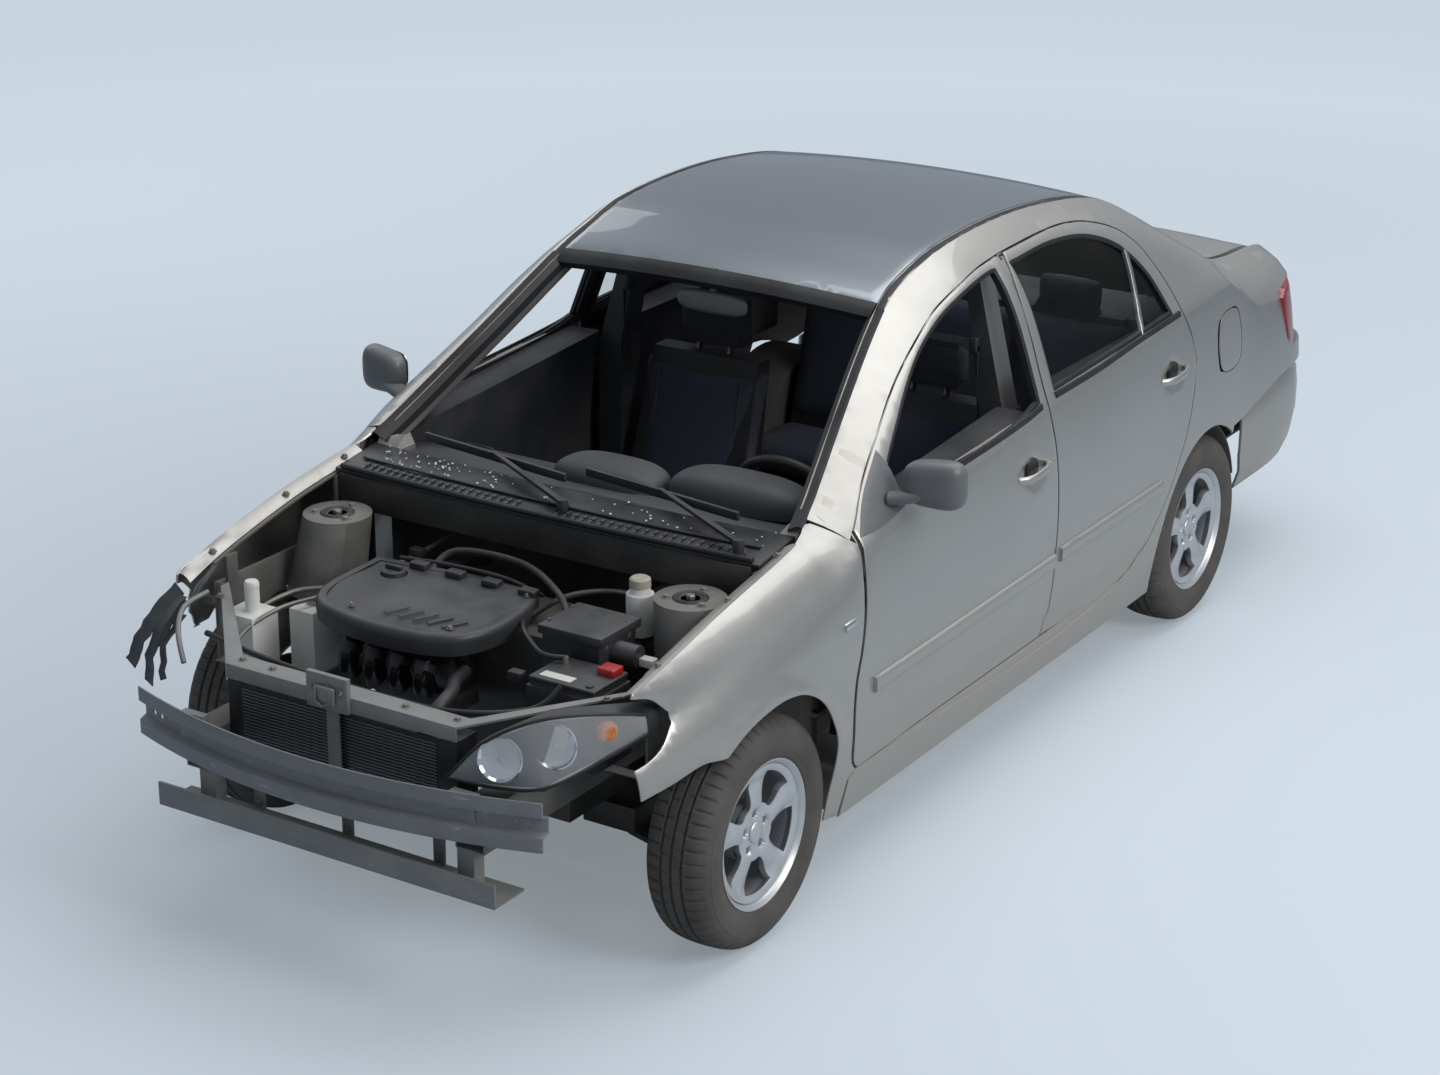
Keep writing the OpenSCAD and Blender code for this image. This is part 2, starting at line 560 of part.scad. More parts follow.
module lower_crossmember() color([0.5, 0.5, 0.5]) {
    translate([-520, -2150, cross_z - 8]) cube([1040, 8, 62]);
    translate([-520, -2142, cross_z - 8]) cube([1040, 110, 6]);
    for (x = [-300, -20, 260]) translate([x, -2044, cross_z - 3]) cube([34, 6, 454 - cross_z]);
    both_sides() translate([rail_in, -2100, cross_z - 3]) cube([50, 40, 427.7 - cross_z + 3]);
}
beam_z = 536;
beam_y = -2200;
module crash_beam() color([0.55, 0.56, 0.57]) {
    difference() {
        rotate_extrude_beam(0);
        for (x = [-560, 560], dx = [-16, 16]) translate([x + dx, beam_y - 60, beam_z])
            rotate([-90, 0, 0]) cylinder(h = 300, r = 7, $fn = 32);
    }
    both_sides() translate([rail_in + 3, -2130, beam_z - 50]) cube([74, 24.7, 100]);
}
beam_bow_r = 1900;
module rotate_extrude_beam(grow) intersection() {
    translate([0, beam_y + beam_bow_r, beam_z - beam_h/2]) rotate_extrude($fn = 200)
        translate([beam_bow_r, 0]) polygon([[0, 0], [0, 38], [-22, 46], [-22, beam_h - 46],
            [0, beam_h - 38], [0, beam_h], [-5, beam_h], [-5, beam_h - 34], [-27, beam_h - 42],
            [-27, 42], [-5, 34], [-5, 0]]);
    translate([-620, beam_y - 10, 0]) cube([1240, 200, 1000]);
}
module radiator() color([0.12, 0.12, 0.13]) {
    translate([-335, -2037.7, 452]) cube([620, 45, 205]);
    translate([-372, -2037.7, 445]) cube([38, 80, 215]);
    translate([284, -2037.7, 445]) cube([50, 80, 215]);
    translate([-335, -1993, 440]) cube([620, 38, 220]);
}

// Engine, with its cover, manifold and bay equipment
engine_y0 = -1560;
engine_w = 230;
gearbox_z = 540;
module engine_block() color([0.3, 0.3, 0.3]) {
    translate([-300, engine_y0, 300]) cube([engine_l, engine_w, engine_z - 300]);
    translate([engine_l - 301, -1640, 300]) cube([rail_in - engine_l + 300, 260, gearbox_z - 300]);
    translate([seat_gap - rail_in, -1500, 470]) cube([rail_in - 299, 80, 50]);
    translate([engine_l - 301, -1500, 470]) cube([rail_in - engine_l + 301 - seat_gap, 80, 50]);
}
cover_outline = [[-372, -1444], [-281, -1434], [136, -1429], [168, -1500], [182, -1690],
    [127, -1790], [-257, -1800], [-334, -1738]];
module engine_cover() color([0.15, 0.15, 0.16]) difference() {
    translate([0, 0, engine_z + seat_gap]) linear_extrude(798 - engine_z) offset(r = 20, $fn = 32)
        offset(delta = -20) polygon(cover_outline);
    translate([-255, -1520, 780]) cylinder(h = 40, r = 34, $fn = 40);
}
runner_x = [-220, -142, -64, 14];
module intake_manifold() color([0.14, 0.14, 0.15]) {
    for (x = runner_x) translate([x, -1620, 0]) {
        translate([0, -engine_y0 - 1560 + 59.7, 680]) rotate([90, 0, 0]) cylinder(h = 60, r = 20, $fn = 32);
        difference() {
            translate([-21, 0, 625]) rotate([0, 90, 0]) cylinder(h = 42, r = 59.7, $fn = 48);
            translate([-22, 0, 625]) rotate([0, 90, 0]) cylinder(h = 44, r = 24, $fn = 48);
        }
    }
    translate([-250, -1672, 535]) cube([310, 84, 34]);
}
module battery() color([0.17, 0.17, 0.18]) {
    translate([360, -1795, 538.3]) cube([200, 155, 190]);
    translate([367, -1788, 728]) cube([186, 141, 14]);
    translate([385, -1665, 741]) cylinder(h = 16, r = 10, $fn = 24);
    translate([530, -1770, 741]) cylinder(h = 16, r = 10, $fn = 24);
}
module air_filter_box() color([0.13, 0.13, 0.14]) {
    translate([290, -1630, gearbox_z + seat_gap]) cube([60, 160, 200]);
    translate([290, -1630, 700]) cube([170, 160, 100]);
    translate([282, -1638, 790]) cube([190, 176, 24]);
    translate([459, -1560, 756]) rotate([0, 90, 0]) cylinder(h = 72, r = 28, $fn = 32);
}
module fluid_bottles() {
    color([0.8, 0.8, 0.76]) {
        translate([servo[0], -1366, servo[1] + 22 + seat_gap]) cylinder(h = 110, r = 36, $fn = 40);
        translate([servo[0], -1366, 832]) cylinder(h = 28, r = 26, $fn = 40);
    }
    color([0.85, 0.85, 0.82]) {
        translate([-560, -1840, 538.3]) cube([100.3, 100, 190]);
        translate([-500, -1790, 728]) cylinder(h = 75, r = 19, $fn = 32);
    }
    color([0.75, 0.72, 0.66]) translate([-459, -1700, 538.3]) cube([80, 130, 175]);
}

// Left headlamp, set in the corner between the wing and the tie bar
lamp_face = [[352, -2100, 600], [440, -2082, 700], [560, -2030, 768], [680, -1870, 756],
    [712, -1800, 735], [715, -1795, 690], [680, -1875, 664], [575, -2030, 600]];
lamp_depth = 58;
module headlamp_left() color([0.75, 0.78, 0.8]) pressed() difference() {
    hull() for (p = lamp_face) {
        translate(p) sphere(8, $fn = 10);
        translate(p + [0, lamp_depth, 0]) sphere(8, $fn = 10);
    }
    translate([250, -1757, 500]) cube([600, 300, 500]);
}

// Black scuttle cover under the windscreen opening, and the wiper arms on it
module cowl_cover() color([0.08, 0.08, 0.09]) pressed() difference() {
    sheet(steps(-1, 1, 16), steps(0, 1, 4), function(u, v) cowl(u, v, 0),
        function(u, v) cowl(u, v, 8));
    for (x = wiper_x) translate([x, wiper_y, 880]) cylinder(h = 90, r = 18, $fn = 24);
}
function cowl(u, v, d) = let(x = 672*u, y0 = -1285 + 45*u*u, y = y0 + (170 + 5*u*u)*v)
    [x, y, 921 + 22*v + 10*(1 - u*u) - d];
module wiper_arms() color([0.05, 0.05, 0.06]) for (x = wiper_x) {
    translate([x, wiper_y, 904.3]) cylinder(h = 66, r = 15, $fn = 32);
    hull() {
        translate([x - 10, wiper_y, 961]) cylinder(h = 9, r = 9, $fn = 24);
        translate([x - 330, -1070, 985]) cylinder(h = 9, r = 6, $fn = 24);
    }
    translate([x - 330, -1070, 985]) rotate([0, 0, -8]) translate([-260, -5, -16]) cube([520, 10, 22]);
}

// Dashboard, with its cluster hood, and the steering column
wheel_at = [370, -560, 800];
column_tilt = 25;
dash_w = 672;
module dashboard() color([0.14, 0.14, 0.15]) {
    difference() {
        pressed() union() {
            translate([seat_gap - post_x0, -1060, 800]) cube([2*(post_x0 - seat_gap), 102, 110]);
            hull() {
                translate([-dash_w, -960, 780]) cube([2*dash_w, 20, 128]);
                translate([-dash_w, -780, 700]) cube([2*dash_w, 60, 150]);
                translate([-dash_w, -900, 560]) cube([2*dash_w, 100, 60]);
            }
        }
        translate([180, -790, 560]) cube([380, 80, 120]);
    }
    pressed() hull() {
        translate([wheel_at[0] - 180, -860, 850]) cube([360, 90, 10]);
        translate([wheel_at[0] - 140, -850, 915]) cube([280, 60, 8]);
    }
    pressed() hull() {
        translate([-160, -930, 880]) cube([320, 140, 10]);
        translate([-120, -900, 912]) cube([240, 90, 8]);
    }
    translate([-130, -770, 350.3]) cube([260, 130, 400]);
    translate(wheel_at) rotate([column_tilt, 0, 0]) translate([0, -300, 0]) rotate([-90, 0, 0]) {
        cylinder(h = 262, r = 42, $fn = 40);
        cylinder(h = 290, r = 11, $fn = 40);
    }
}
module steering_wheel() color([0.1, 0.1, 0.1]) translate(wheel_at) rotate([column_tilt, 0, 0])
    rotate([-90, 0, 0]) {
    rotate_extrude($fn = 72) translate([178, 0]) circle(15, $fn = 20);
    difference() {
        translate([0, 0, -28]) cylinder(h = 44, r = 62, $fn = 40);
        translate([0, 0, -29]) cylinder(h = 19.3, r = 11 + run_gap, $fn = 40);
    }
    for (a = [0, 90, 180]) rotate([0, 0, a]) translate([58, -16, -14]) cube([112, 32, 18]);
}

// Seats
seat_x = 370;
module front_seats() color([0.13, 0.14, 0.17]) both_sides() {
    translate([seat_x - 215, -420, 212.3]) cube([30, 420, 50]);
    translate([seat_x + 185, -420, 212.3]) cube([30, 420, 50]);
    pressed() union() {
        hull() {
            translate([seat_x - 245, -470, 262.5]) cube([490, 460, 20]);
            translate([seat_x - 225, -500, 300]) cube([450, 480, 70]);
            translate([seat_x - 215, -480, 400]) cube([430, 100, 20]);
        }
        hull() {
            translate([seat_x - 240, -60, 330]) cube([480, 90, 20]);
            translate([seat_x - 215, 130, 920]) cube([430, 70, 20]);
            translate([seat_x - 235, -20, 420]) cube([470, 120, 20]);
        }
        hull() {
            translate([seat_x - 120, 155, 965]) cube([240, 85, 20]);
            translate([seat_x - 105, 170, 1080]) cube([210, 70, 20]);
        }
        for (x = [seat_x - 70, seat_x + 58]) translate([x, 175, 900]) cube([12, 12, 100]);
    }
}
module rear_seat() color([0.13, 0.14, 0.17]) pressed() union() {
    hull() {
        translate([-585, step_y + 20, floor_z[1] + seat_gap]) cube([1170, 340, 20]);
        translate([-596, step_y - 30, 430]) cube([1192, 400, 20]);
        translate([-580, step_y, 480]) cube([1160, 360, 14]);
    }
    hull() {
        translate([-585, 960, 440]) cube([1170, 150, 20]);
        translate([-570, 1085, 925]) cube([1140, 64.6, 30]);
    }
    for (x = [-360, 360]) translate([x - 115, 1080, 950]) cube([230, 68, 130]);
}

// Wheels on their hubs
module at_wheel(y, side) translate([side*half_track, y, tyre_r]) rotate([0, 90*side, 0]) children();
module tyre(y, side) color([0.1, 0.1, 0.1]) at_wheel(y, side) difference() {
    rotate_extrude($fn = 96) polygon([[rim_r - 8, -tyre_w/2 + 22], [rim_r + 14, -tyre_w/2 + 8],
        [rim_r + 55, -tyre_w/2], [tyre_r - 22, -tyre_w/2 + 12], [tyre_r, -tyre_w/2 + 34],
        [tyre_r, tyre_w/2 - 34], [tyre_r - 22, tyre_w/2 - 12], [rim_r + 55, tyre_w/2],
        [rim_r + 14, tyre_w/2 - 8], [rim_r - 8, tyre_w/2 - 22], [rim_r - 8, tyre_w/2 - 30],
        [tyre_r - 14, tyre_w/2 - 34], [tyre_r - 14, -tyre_w/2 + 34], [rim_r - 8, -tyre_w/2 + 30]]);
}
bead_r = rim_r - 8.3;
spoke_z = 58;
module rim(y, side) color([0.62, 0.63, 0.64]) at_wheel(y, side) {
    difference() {
        union() {
            rotate_extrude($fn = 96) polygon([[bead_r, -tyre_w/2 + 22], [rim_r, -tyre_w/2 + 14],
                [rim_r, -tyre_w/2 + 10], [bead_r - 6, -tyre_w/2 + 12], [bead_r - 8, -30],
                [bead_r - 18, 20], [bead_r - 8, tyre_w/2 - 20], [bead_r - 4, tyre_w/2 - 10],
                [rim_r, tyre_w/2 - 10], [rim_r, tyre_w/2 - 14], [bead_r, tyre_w/2 - 22],
                [bead_r, tyre_w/2 - 30], [bead_r - 12, 20], [bead_r, -30]]);
            cylinder(h = spoke_z, r = 72, $fn = 64);
            for (k = [0 : 4]) rotate([0, 0, 90 + 72*k]) translate([0, 0, spoke_z - 26])
                linear_extrude(26) polygon([[55, -34], [bead_r - 10, -25], [bead_r - 10, 25],
                [55, 34]]);
        }
        translate([0, 0, -1]) cylinder(h = spoke_z - 12, r = hub_bore_r + 16, $fn = 64);
        for (k = [0 : 4]) rotate([0, 0, 90 + 72*k]) translate([50, 0, spoke_z - 14])
            cylinder(h = 20, r = 11, $fn = 32);
        translate([0, 0, spoke_z - 20]) cylinder(h = 30, r = hub_bore_r, $fn = 48);
    }
}
hub_r = hub_bore_r - run_gap;
module stub(y, side) at_wheel(y, side) {
    cylinder(h = spoke_z - 6, r = hub_r, $fn = 48);
    translate([0, 0, -60]) cylinder(h = 60, r = 40, $fn = 48);
    translate([0, 0, -24]) cylinder(h = 14, r = 125, $fn = 64);
}
module tyre_front_left() tyre(front_axle_y, 1);
module tyre_front_right() tyre(front_axle_y, -1);
module tyre_rear_left() tyre(rear_axle_y, 1);
module tyre_rear_right() tyre(rear_axle_y, -1);
module rim_front_left() rim(front_axle_y, 1);
module rim_front_right() rim(front_axle_y, -1);
module rim_rear_left() rim(rear_axle_y, 1);
module rim_rear_right() rim(rear_axle_y, -1);

// Knuckles, each with its strut leg, turning about the kingpin line
king_x = 600;
module knuckle() color([0.33, 0.3, 0.28]) {
    difference() {
        stub(front_axle_y, 1);
        translate([half_track - 70, front_axle_y, tyre_r]) rotate([0, 90, 0])
            cylinder(h = 20, r = 22, $fn = 48);
    }
    translate([king_x, front_axle_y, 200]) cylinder(h = 170, r = 26, $fn = 48);
    translate([king_x, front_axle_y - 20, tyre_r - 22]) cube([half_track - 60 - king_x + 1, 40, 44]);
    translate([king_x, front_axle_y, 369]) cylinder(h = 300, r = 25, $fn = 48);
    translate([king_x, front_axle_y, 668]) cylinder(h = 110, r = 11, $fn = 48);
    translate([king_x, front_axle_y, 628]) cylinder(h = 72, r = 40, $fn = 48);
    translate([king_x - 10, front_axle_y + 18, 235]) cube([20, 110, 20]);
}
module knuckle_left() knuckle();
module knuckle_right() mirror([1, 0, 0]) knuckle();

// Rear twist-beam axle with its coil springs and dampers
module rear_axle() color([0.22, 0.21, 0.2]) {
    translate([-560, rear_axle_y - 180, 255]) cube([1120, 70, 60]);
    both_sides() {
        difference() {
            translate([545, 800, 262]) cube([55, 420, 60]);
            translate([530, 840, 292]) rotate([0, 90, 0]) cylinder(h = 100, r = 9, $fn = 32);
        }
        translate([500, 810, 262]) cube([46, 60, floor_z[1] - 12 - 262 - seat_gap]);
        stub(rear_axle_y, 1);
        translate([599, rear_axle_y - 30, tyre_r - 30]) cube([half_track - 60 - 598, 60, 60]);
        translate([520, rear_axle_y - 90, 322]) cylinder(h = 65.7, r = 48, $fn = 40);
        translate([530, rear_axle_y - 130, 300]) cube([30, 80, 22]);
        translate([572, rear_axle_y + 20, 290]) cylinder(h = 97.7, r = 22, $fn = 40);
    }
}

// Front subframe, lower arms and anti-roll bar
module front_subframe() color([0.2, 0.2, 0.2]) {
    difference() {
        translate([-420, -1420, 190]) cube([840, 260, 70]);
        translate([-300, -1430, 180]) cube([560, 120, 90]);
        translate([-40, -1430, 210]) cube([80, 300, 60]);
    }
    both_sides() {
        linear_arm();
        translate([rail_in + 5, -1240, 255]) cube([35, 80, 172.7]);
        translate([king_x, front_axle_y, 176]) cylinder(h = 23.7, r = 24, $fn = 40);
    }
}
module linear_arm() translate([0, 0, 176]) linear_extrude(15) difference() {
    hull() {
        translate([king_x, front_axle_y]) circle(28, $fn = 40);
        translate([400, -1380]) circle(24, $fn = 40);
        translate([400, -1200]) circle(24, $fn = 40);
    }
    translate([470, -1330]) circle(24, $fn = 40);
}

// Exhaust down the tunnel, and the fuel tank under the rear seat
pipe_r = 24;
pipe_z = 245;
silencer = [-370, 1560, 255];
module exhaust() color([0.36, 0.33, 0.3]) {
    translate([0, engine_y0 + engine_w + pipe_r + seat_gap, 0]) {
        hull() for (z = [pipe_z, 330]) translate([0, 0, z]) sphere(pipe_r, $fn = 20);
        translate([0, 0, pipe_z]) rotate([-90, 0, 0]) cylinder(h = 920, r = pipe_r, $fn = 32);
    }
    translate([0, -400, 255]) scale([1, 1, 0.62]) rotate([-90, 0, 0]) cylinder(h = 420, r = 78, $fn = 48);
    translate([0, 0, pipe_z]) rotate([-90, 0, 0]) cylinder(h = 700, r = pipe_r, $fn = 32);
    translate(silencer) scale([1, 1, 0.7]) rotate([-90, 0, 0]) cylinder(h = 470, r = 80, $fn = 48);
    hull() {
        translate([0, 690, pipe_z]) sphere(pipe_r, $fn = 20);
        translate([-200, 900, 210]) sphere(pipe_r, $fn = 20);
    }
    hull() {
        translate([-200, 900, 210]) sphere(pipe_r, $fn = 20);
        translate([-370, 1570, pipe_z]) sphere(pipe_r, $fn = 20);
    }
    translate([silencer[0], 2020, silencer[2]]) rotate([-90, 0, 0]) cylinder(h = 130, r = 20, $fn = 32);
    translate([silencer[0] - 8, 1800, 305]) cube([16, 20, floor_z[1] - 12 - 305 - seat_gap]);
    translate([-8, -300, 290]) cube([16, 20, 47.7]);
}
module fuel_tank() color([0.18, 0.18, 0.18])
    translate([60, 650, 225]) cube([420, 270, floor_z[1] - 12 - 225 - seat_gap]);

underbody();
body_side_left();
body_side_right();
roof_panel();
rear_shelf();
back_panel();
firewall();
inner_wings();
front_wing_left();
front_wing_right();
upper_tie_bar();
lower_crossmember();
crash_beam();
radiator();
engine_block();
engine_cover();
intake_manifold();
battery();
air_filter_box();
fluid_bottles();
headlamp_left();
cowl_cover();
wiper_arms();
dashboard();
steering_wheel();
front_seats();
rear_seat();
door_front_left();
door_front_right();
door_rear_left();
door_rear_right();
door_mirror_left();
door_mirror_right();
boot_lid();
rear_bumper();
tail_lamps();
fuel_flap();
rear_window();
tyre_front_left();
tyre_front_right();
tyre_rear_left();
tyre_rear_right();
rim_front_left();
rim_front_right();
rim_rear_left();
rim_rear_right();
knuckle_left();
knuckle_right();
rear_axle();
front_subframe();
exhaust();
fuel_tank();
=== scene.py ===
"""A compact four-door saloon after a frontal crash, standing on its wheels: bonnet, front bumper
cover and right headlamp gone, right front wing torn. Metres, front to -Y, the car's left to +X."""
import math
import random

import bpy
import bmesh
import numpy as np
from mathutils import Matrix, Vector, geometry


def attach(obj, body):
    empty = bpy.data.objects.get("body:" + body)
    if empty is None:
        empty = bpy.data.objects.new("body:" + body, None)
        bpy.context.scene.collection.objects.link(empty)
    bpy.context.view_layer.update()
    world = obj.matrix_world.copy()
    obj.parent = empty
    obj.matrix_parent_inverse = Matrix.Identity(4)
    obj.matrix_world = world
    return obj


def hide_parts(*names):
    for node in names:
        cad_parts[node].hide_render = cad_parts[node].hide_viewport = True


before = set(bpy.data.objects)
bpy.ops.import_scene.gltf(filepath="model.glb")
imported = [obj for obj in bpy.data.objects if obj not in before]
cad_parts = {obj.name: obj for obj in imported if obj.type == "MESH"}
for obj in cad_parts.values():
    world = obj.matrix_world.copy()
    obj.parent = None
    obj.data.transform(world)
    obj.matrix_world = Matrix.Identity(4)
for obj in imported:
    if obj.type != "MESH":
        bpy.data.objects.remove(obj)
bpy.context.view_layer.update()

scene = bpy.context.scene


# ---------------------------------------------------------------------------
# Studio: a pale flat floor sheet under the world's pale backdrop, three soft
# lamps, and the camera at head height ahead of the left front corner.
# ---------------------------------------------------------------------------
def object_from(name, points, faces):
    """A mesh object at the origin made of points and faces."""
    mesh = bpy.data.meshes.new(name)
    mesh.from_pydata([tuple(p) for p in points], [], [tuple(f) for f in faces])
    mesh.update()
    obj = bpy.data.objects.new(name, mesh)
    scene.collection.objects.link(obj)
    return obj


camera_place = Vector((4.23284, -7.05370, 3.54631))
camera_turn, camera_drop, camera_roll = (math.radians(a) for a in (32.299, 20.525, 0.371))
back = Vector((math.sin(camera_turn) * math.cos(camera_drop),
               -math.cos(camera_turn) * math.cos(camera_drop), math.sin(camera_drop)))
right = Vector((0, 0, 1)).cross(back).normalized()
up = back.cross(right)
right, up = (right * math.cos(camera_roll) + up * math.sin(camera_roll),
             up * math.cos(camera_roll) - right * math.sin(camera_roll))
camera = bpy.data.objects.new("camera", bpy.data.cameras.new("camera"))
scene.collection.objects.link(camera)
camera.matrix_world = Matrix((
    (right.x, up.x, back.x, camera_place.x),
    (right.y, up.y, back.y, camera_place.y),
    (right.z, up.z, back.z, camera_place.z),
    (0, 0, 0, 1)))
camera.data.sensor_width = 36
camera.data.lens = 73.88
camera.data.clip_start, camera.data.clip_end = 0.1, 200
scene.camera = camera

scene.view_settings.view_transform = "Standard"
world = bpy.data.worlds.new("studio")
scene.world = world
world.use_nodes = True
tree = world.node_tree
tree.nodes.clear()
path = tree.nodes.new("ShaderNodeLightPath")
room = tree.nodes.new("ShaderNodeBackground")
room.inputs["Color"].default_value = (0.62, 0.70, 0.80, 1)
room.inputs["Strength"].default_value = 0.45
seen = tree.nodes.new("ShaderNodeBackground")
seen.inputs["Color"].default_value = (0.60, 0.68, 0.75, 1)
seen.inputs["Strength"].default_value = 1.0
mix = tree.nodes.new("ShaderNodeMixShader")
out = tree.nodes.new("ShaderNodeOutputWorld")
tree.links.new(path.outputs["Is Camera Ray"], mix.inputs[0])
tree.links.new(room.outputs[0], mix.inputs[1])
tree.links.new(seen.outputs[0], mix.inputs[2])
tree.links.new(mix.outputs[0], out.inputs[0])

floor_points, floor_faces = [], []
floor_profile = [(-30, 0), (30, 0)]
for depth, height in floor_profile:
    for side in (-30, 30):
        p = Vector((side, depth, height))
        p.rotate(Matrix.Rotation(camera_turn, 4, "Z"))
        floor_points.append(p)
for i in range(len(floor_profile) - 1):
    floor_faces.append((2 * i, 2 * i + 1, 2 * i + 3, 2 * i + 2))
floor = object_from("floor", floor_points, floor_faces)
floor.data.polygons.foreach_set("use_smooth", [True] * len(floor_faces))
sheet_paint = bpy.data.materials.new("floor_sheet_painted_glow")
sheet_paint.use_nodes = True
sheet = sheet_paint.node_tree.nodes["Principled BSDF"]
sheet.inputs["Base Color"].default_value = (0.44, 0.485, 0.53, 1)
sheet.inputs["Roughness"].default_value = 0.95
sheet.inputs["Specular IOR Level"].default_value = 0.0
sheet.inputs["Emission Color"].default_value = (0.56, 0.62, 0.66, 1)
# Painted light: for camera rays the floor glows as well as reflecting, more strongly further from the origin,
# standing in for lamp light that falls off towards the far floor.
eye = sheet_paint.node_tree.nodes.new("ShaderNodeLightPath")
painted_floor_glow = sheet_paint.node_tree.nodes.new("ShaderNodeMath")
painted_floor_glow.operation = "MULTIPLY"
here = sheet_paint.node_tree.nodes.new("ShaderNodeTexCoord")
reach = sheet_paint.node_tree.nodes.new("ShaderNodeVectorMath")
reach.operation = "LENGTH"
fade = sheet_paint.node_tree.nodes.new("ShaderNodeMapRange")
for key, value in (("From Min", 2.5), ("From Max", 9.0), ("To Min", 0.38), ("To Max", 0.78)):
    fade.inputs[key].default_value = value
sheet_paint.node_tree.links.new(here.outputs["Object"], reach.inputs[0])
sheet_paint.node_tree.links.new(reach.outputs["Value"], fade.inputs["Value"])
sheet_paint.node_tree.links.new(fade.outputs["Result"], painted_floor_glow.inputs[1])
sheet_paint.node_tree.links.new(eye.outputs["Is Camera Ray"], painted_floor_glow.inputs[0])
sheet_paint.node_tree.links.new(painted_floor_glow.outputs[0], sheet.inputs["Emission Strength"])
floor.data.materials.append(sheet_paint)

for name, spot, size, power in (
        ("overhead", (1.2, 1.2, 6.0), (5.0, 6.0), 210),
        ("front_left", (7.5, -1.5, 5.2), (3.5, 3.5), 290),
        ("right_rim", (-6.5, 2.5, 4.5), (5.0, 3.0), 60)):
    lamp = bpy.data.objects.new(name, bpy.data.lights.new(name, "AREA"))
    lamp.data.shape = "RECTANGLE"
    lamp.data.size, lamp.data.size_y = size
    lamp.data.energy = power
    lamp.location = spot
    lamp.rotation_euler = (Vector((0, 0, 0.6)) - Vector(spot)).to_track_quat("-Z", "Y").to_euler()
    scene.collection.objects.link(lamp)


# ---------------------------------------------------------------------------
# Body paint: silver metallic under clear coat, dulled by dust that lies
# thickest low down and on flat tops, with rain streaks and small scratches.
# ---------------------------------------------------------------------------
class Socket:
    """A shader value that can be used in sums: each operator adds its Math node."""

    def __init__(self, tree, output):
        self.tree, self.output = tree, output

    def _sum(self, operation, *values):
        node = self.tree.nodes.new("ShaderNodeMath")
        node.operation = operation
        for i, value in enumerate(values):
            if isinstance(value, Socket):
                self.tree.links.new(value.output, node.inputs[i])
            else:
                node.inputs[i].default_value = value
        return Socket(self.tree, node.outputs[0])

    def __add__(self, other): return self._sum("ADD", self, other)
    def __radd__(self, other): return self._sum("ADD", other, self)
    def __sub__(self, other): return self._sum("SUBTRACT", self, other)
    def __rsub__(self, other): return self._sum("SUBTRACT", other, self)
    def __mul__(self, other): return self._sum("MULTIPLY", self, other)
    def __rmul__(self, other): return self._sum("MULTIPLY", other, self)
    def __truediv__(self, other): return self._sum("DIVIDE", self, other)
    def __pow__(self, other): return self._sum("POWER", self, other)
    def above(self, edge): return self._sum("GREATER_THAN", self, edge)
    def low(self, other): return self._sum("MINIMUM", self, other)
    def high(self, other): return self._sum("MAXIMUM", self, other)
    def size(self): return self._sum("ABSOLUTE", self)
    def sine(self): return self._sum("SINE", self)
    def clip(self): return self.high(0.0).low(1.0)

    def ramp(self, start, end):
        """0 below start, 1 above end, smooth between."""
        node = self.tree.nodes.new("ShaderNodeMapRange")
        node.interpolation_type = "SMOOTHSTEP"
        node.inputs["From Min"].default_value = start
        node.inputs["From Max"].default_value = end
        self.tree.links.new(self.output, node.inputs["Value"])
        return Socket(self.tree, node.outputs["Result"])


class Finish:
    """One material in the making."""

    def __init__(self, name, **constants):
        self.material = bpy.data.materials.new(name)
        self.material.use_nodes = True
        self.tree = self.material.node_tree
        self.shader = self.tree.nodes["Principled BSDF"]
        self.place = self.node("ShaderNodeTexCoord")["Object"]
        for socket, value in constants.items():
            self.shader.inputs[socket.replace("_", " ")].default_value = value

    def node(self, kind, settings=None, **values):
        """Adds a node; its outputs come back by name."""
        node = self.tree.nodes.new(kind)
        for key, value in (settings or {}).items():
            setattr(node, key, value)
        for key, value in values.items():
            socket = node.inputs[key.replace("_", " ")]
            if isinstance(value, Socket):
                self.tree.links.new(value.output, socket)
            else:
                socket.default_value = value
        return {output.name: Socket(self.tree, output) for output in node.outputs}

    def axes(self):
        parts = self.node("ShaderNodeSeparateXYZ", Vector=self.place)
        return parts["X"], parts["Y"], parts["Z"]

    def facing_up(self):
        return self.node("ShaderNodeSeparateXYZ",
                         Vector=self.node("ShaderNodeNewGeometry")["Normal"])["Z"]

    def stretched(self, x, y, z):
        return self.node("ShaderNodeMapping", Vector=self.place, Scale=(x, y, z))["Vector"]

    def noise(self, scale, detail=3.0, rough=0.55, at=None):
        return self.node("ShaderNodeTexNoise", Vector=at or self.place, Scale=scale, Detail=detail,
                         Roughness=rough)["Fac"]

    def cells(self, scale, at=None, feature="F1"):
        return self.node("ShaderNodeTexVoronoi", {"feature": feature}, Vector=at or self.place,
                         Scale=scale)["Distance"]

    def blend(self, amount, below, above):
        """Colour below where amount is 0, above where it is 1."""
        node = self.tree.nodes.new("ShaderNodeMix")
        node.data_type = "RGBA"
        for socket, value in ((node.inputs[0], amount), (node.inputs[6], below), (node.inputs[7], above)):
            if isinstance(value, Socket):
                self.tree.links.new(value.output, socket)
            else:
                socket.default_value = value if isinstance(value, float) else (*value, 1)
        return Socket(self.tree, node.outputs[2])

    def bump(self, height, distance, strength=1.0):
        normal = self.node("ShaderNodeBump", Height=height, Distance=distance, Strength=strength)["Normal"]
        self.set(Normal=normal)

    def set(self, **links):
        for key, value in links.items():
            self.tree.links.new(value.output, self.shader.inputs[key.replace("_", " ")])
        return self.material


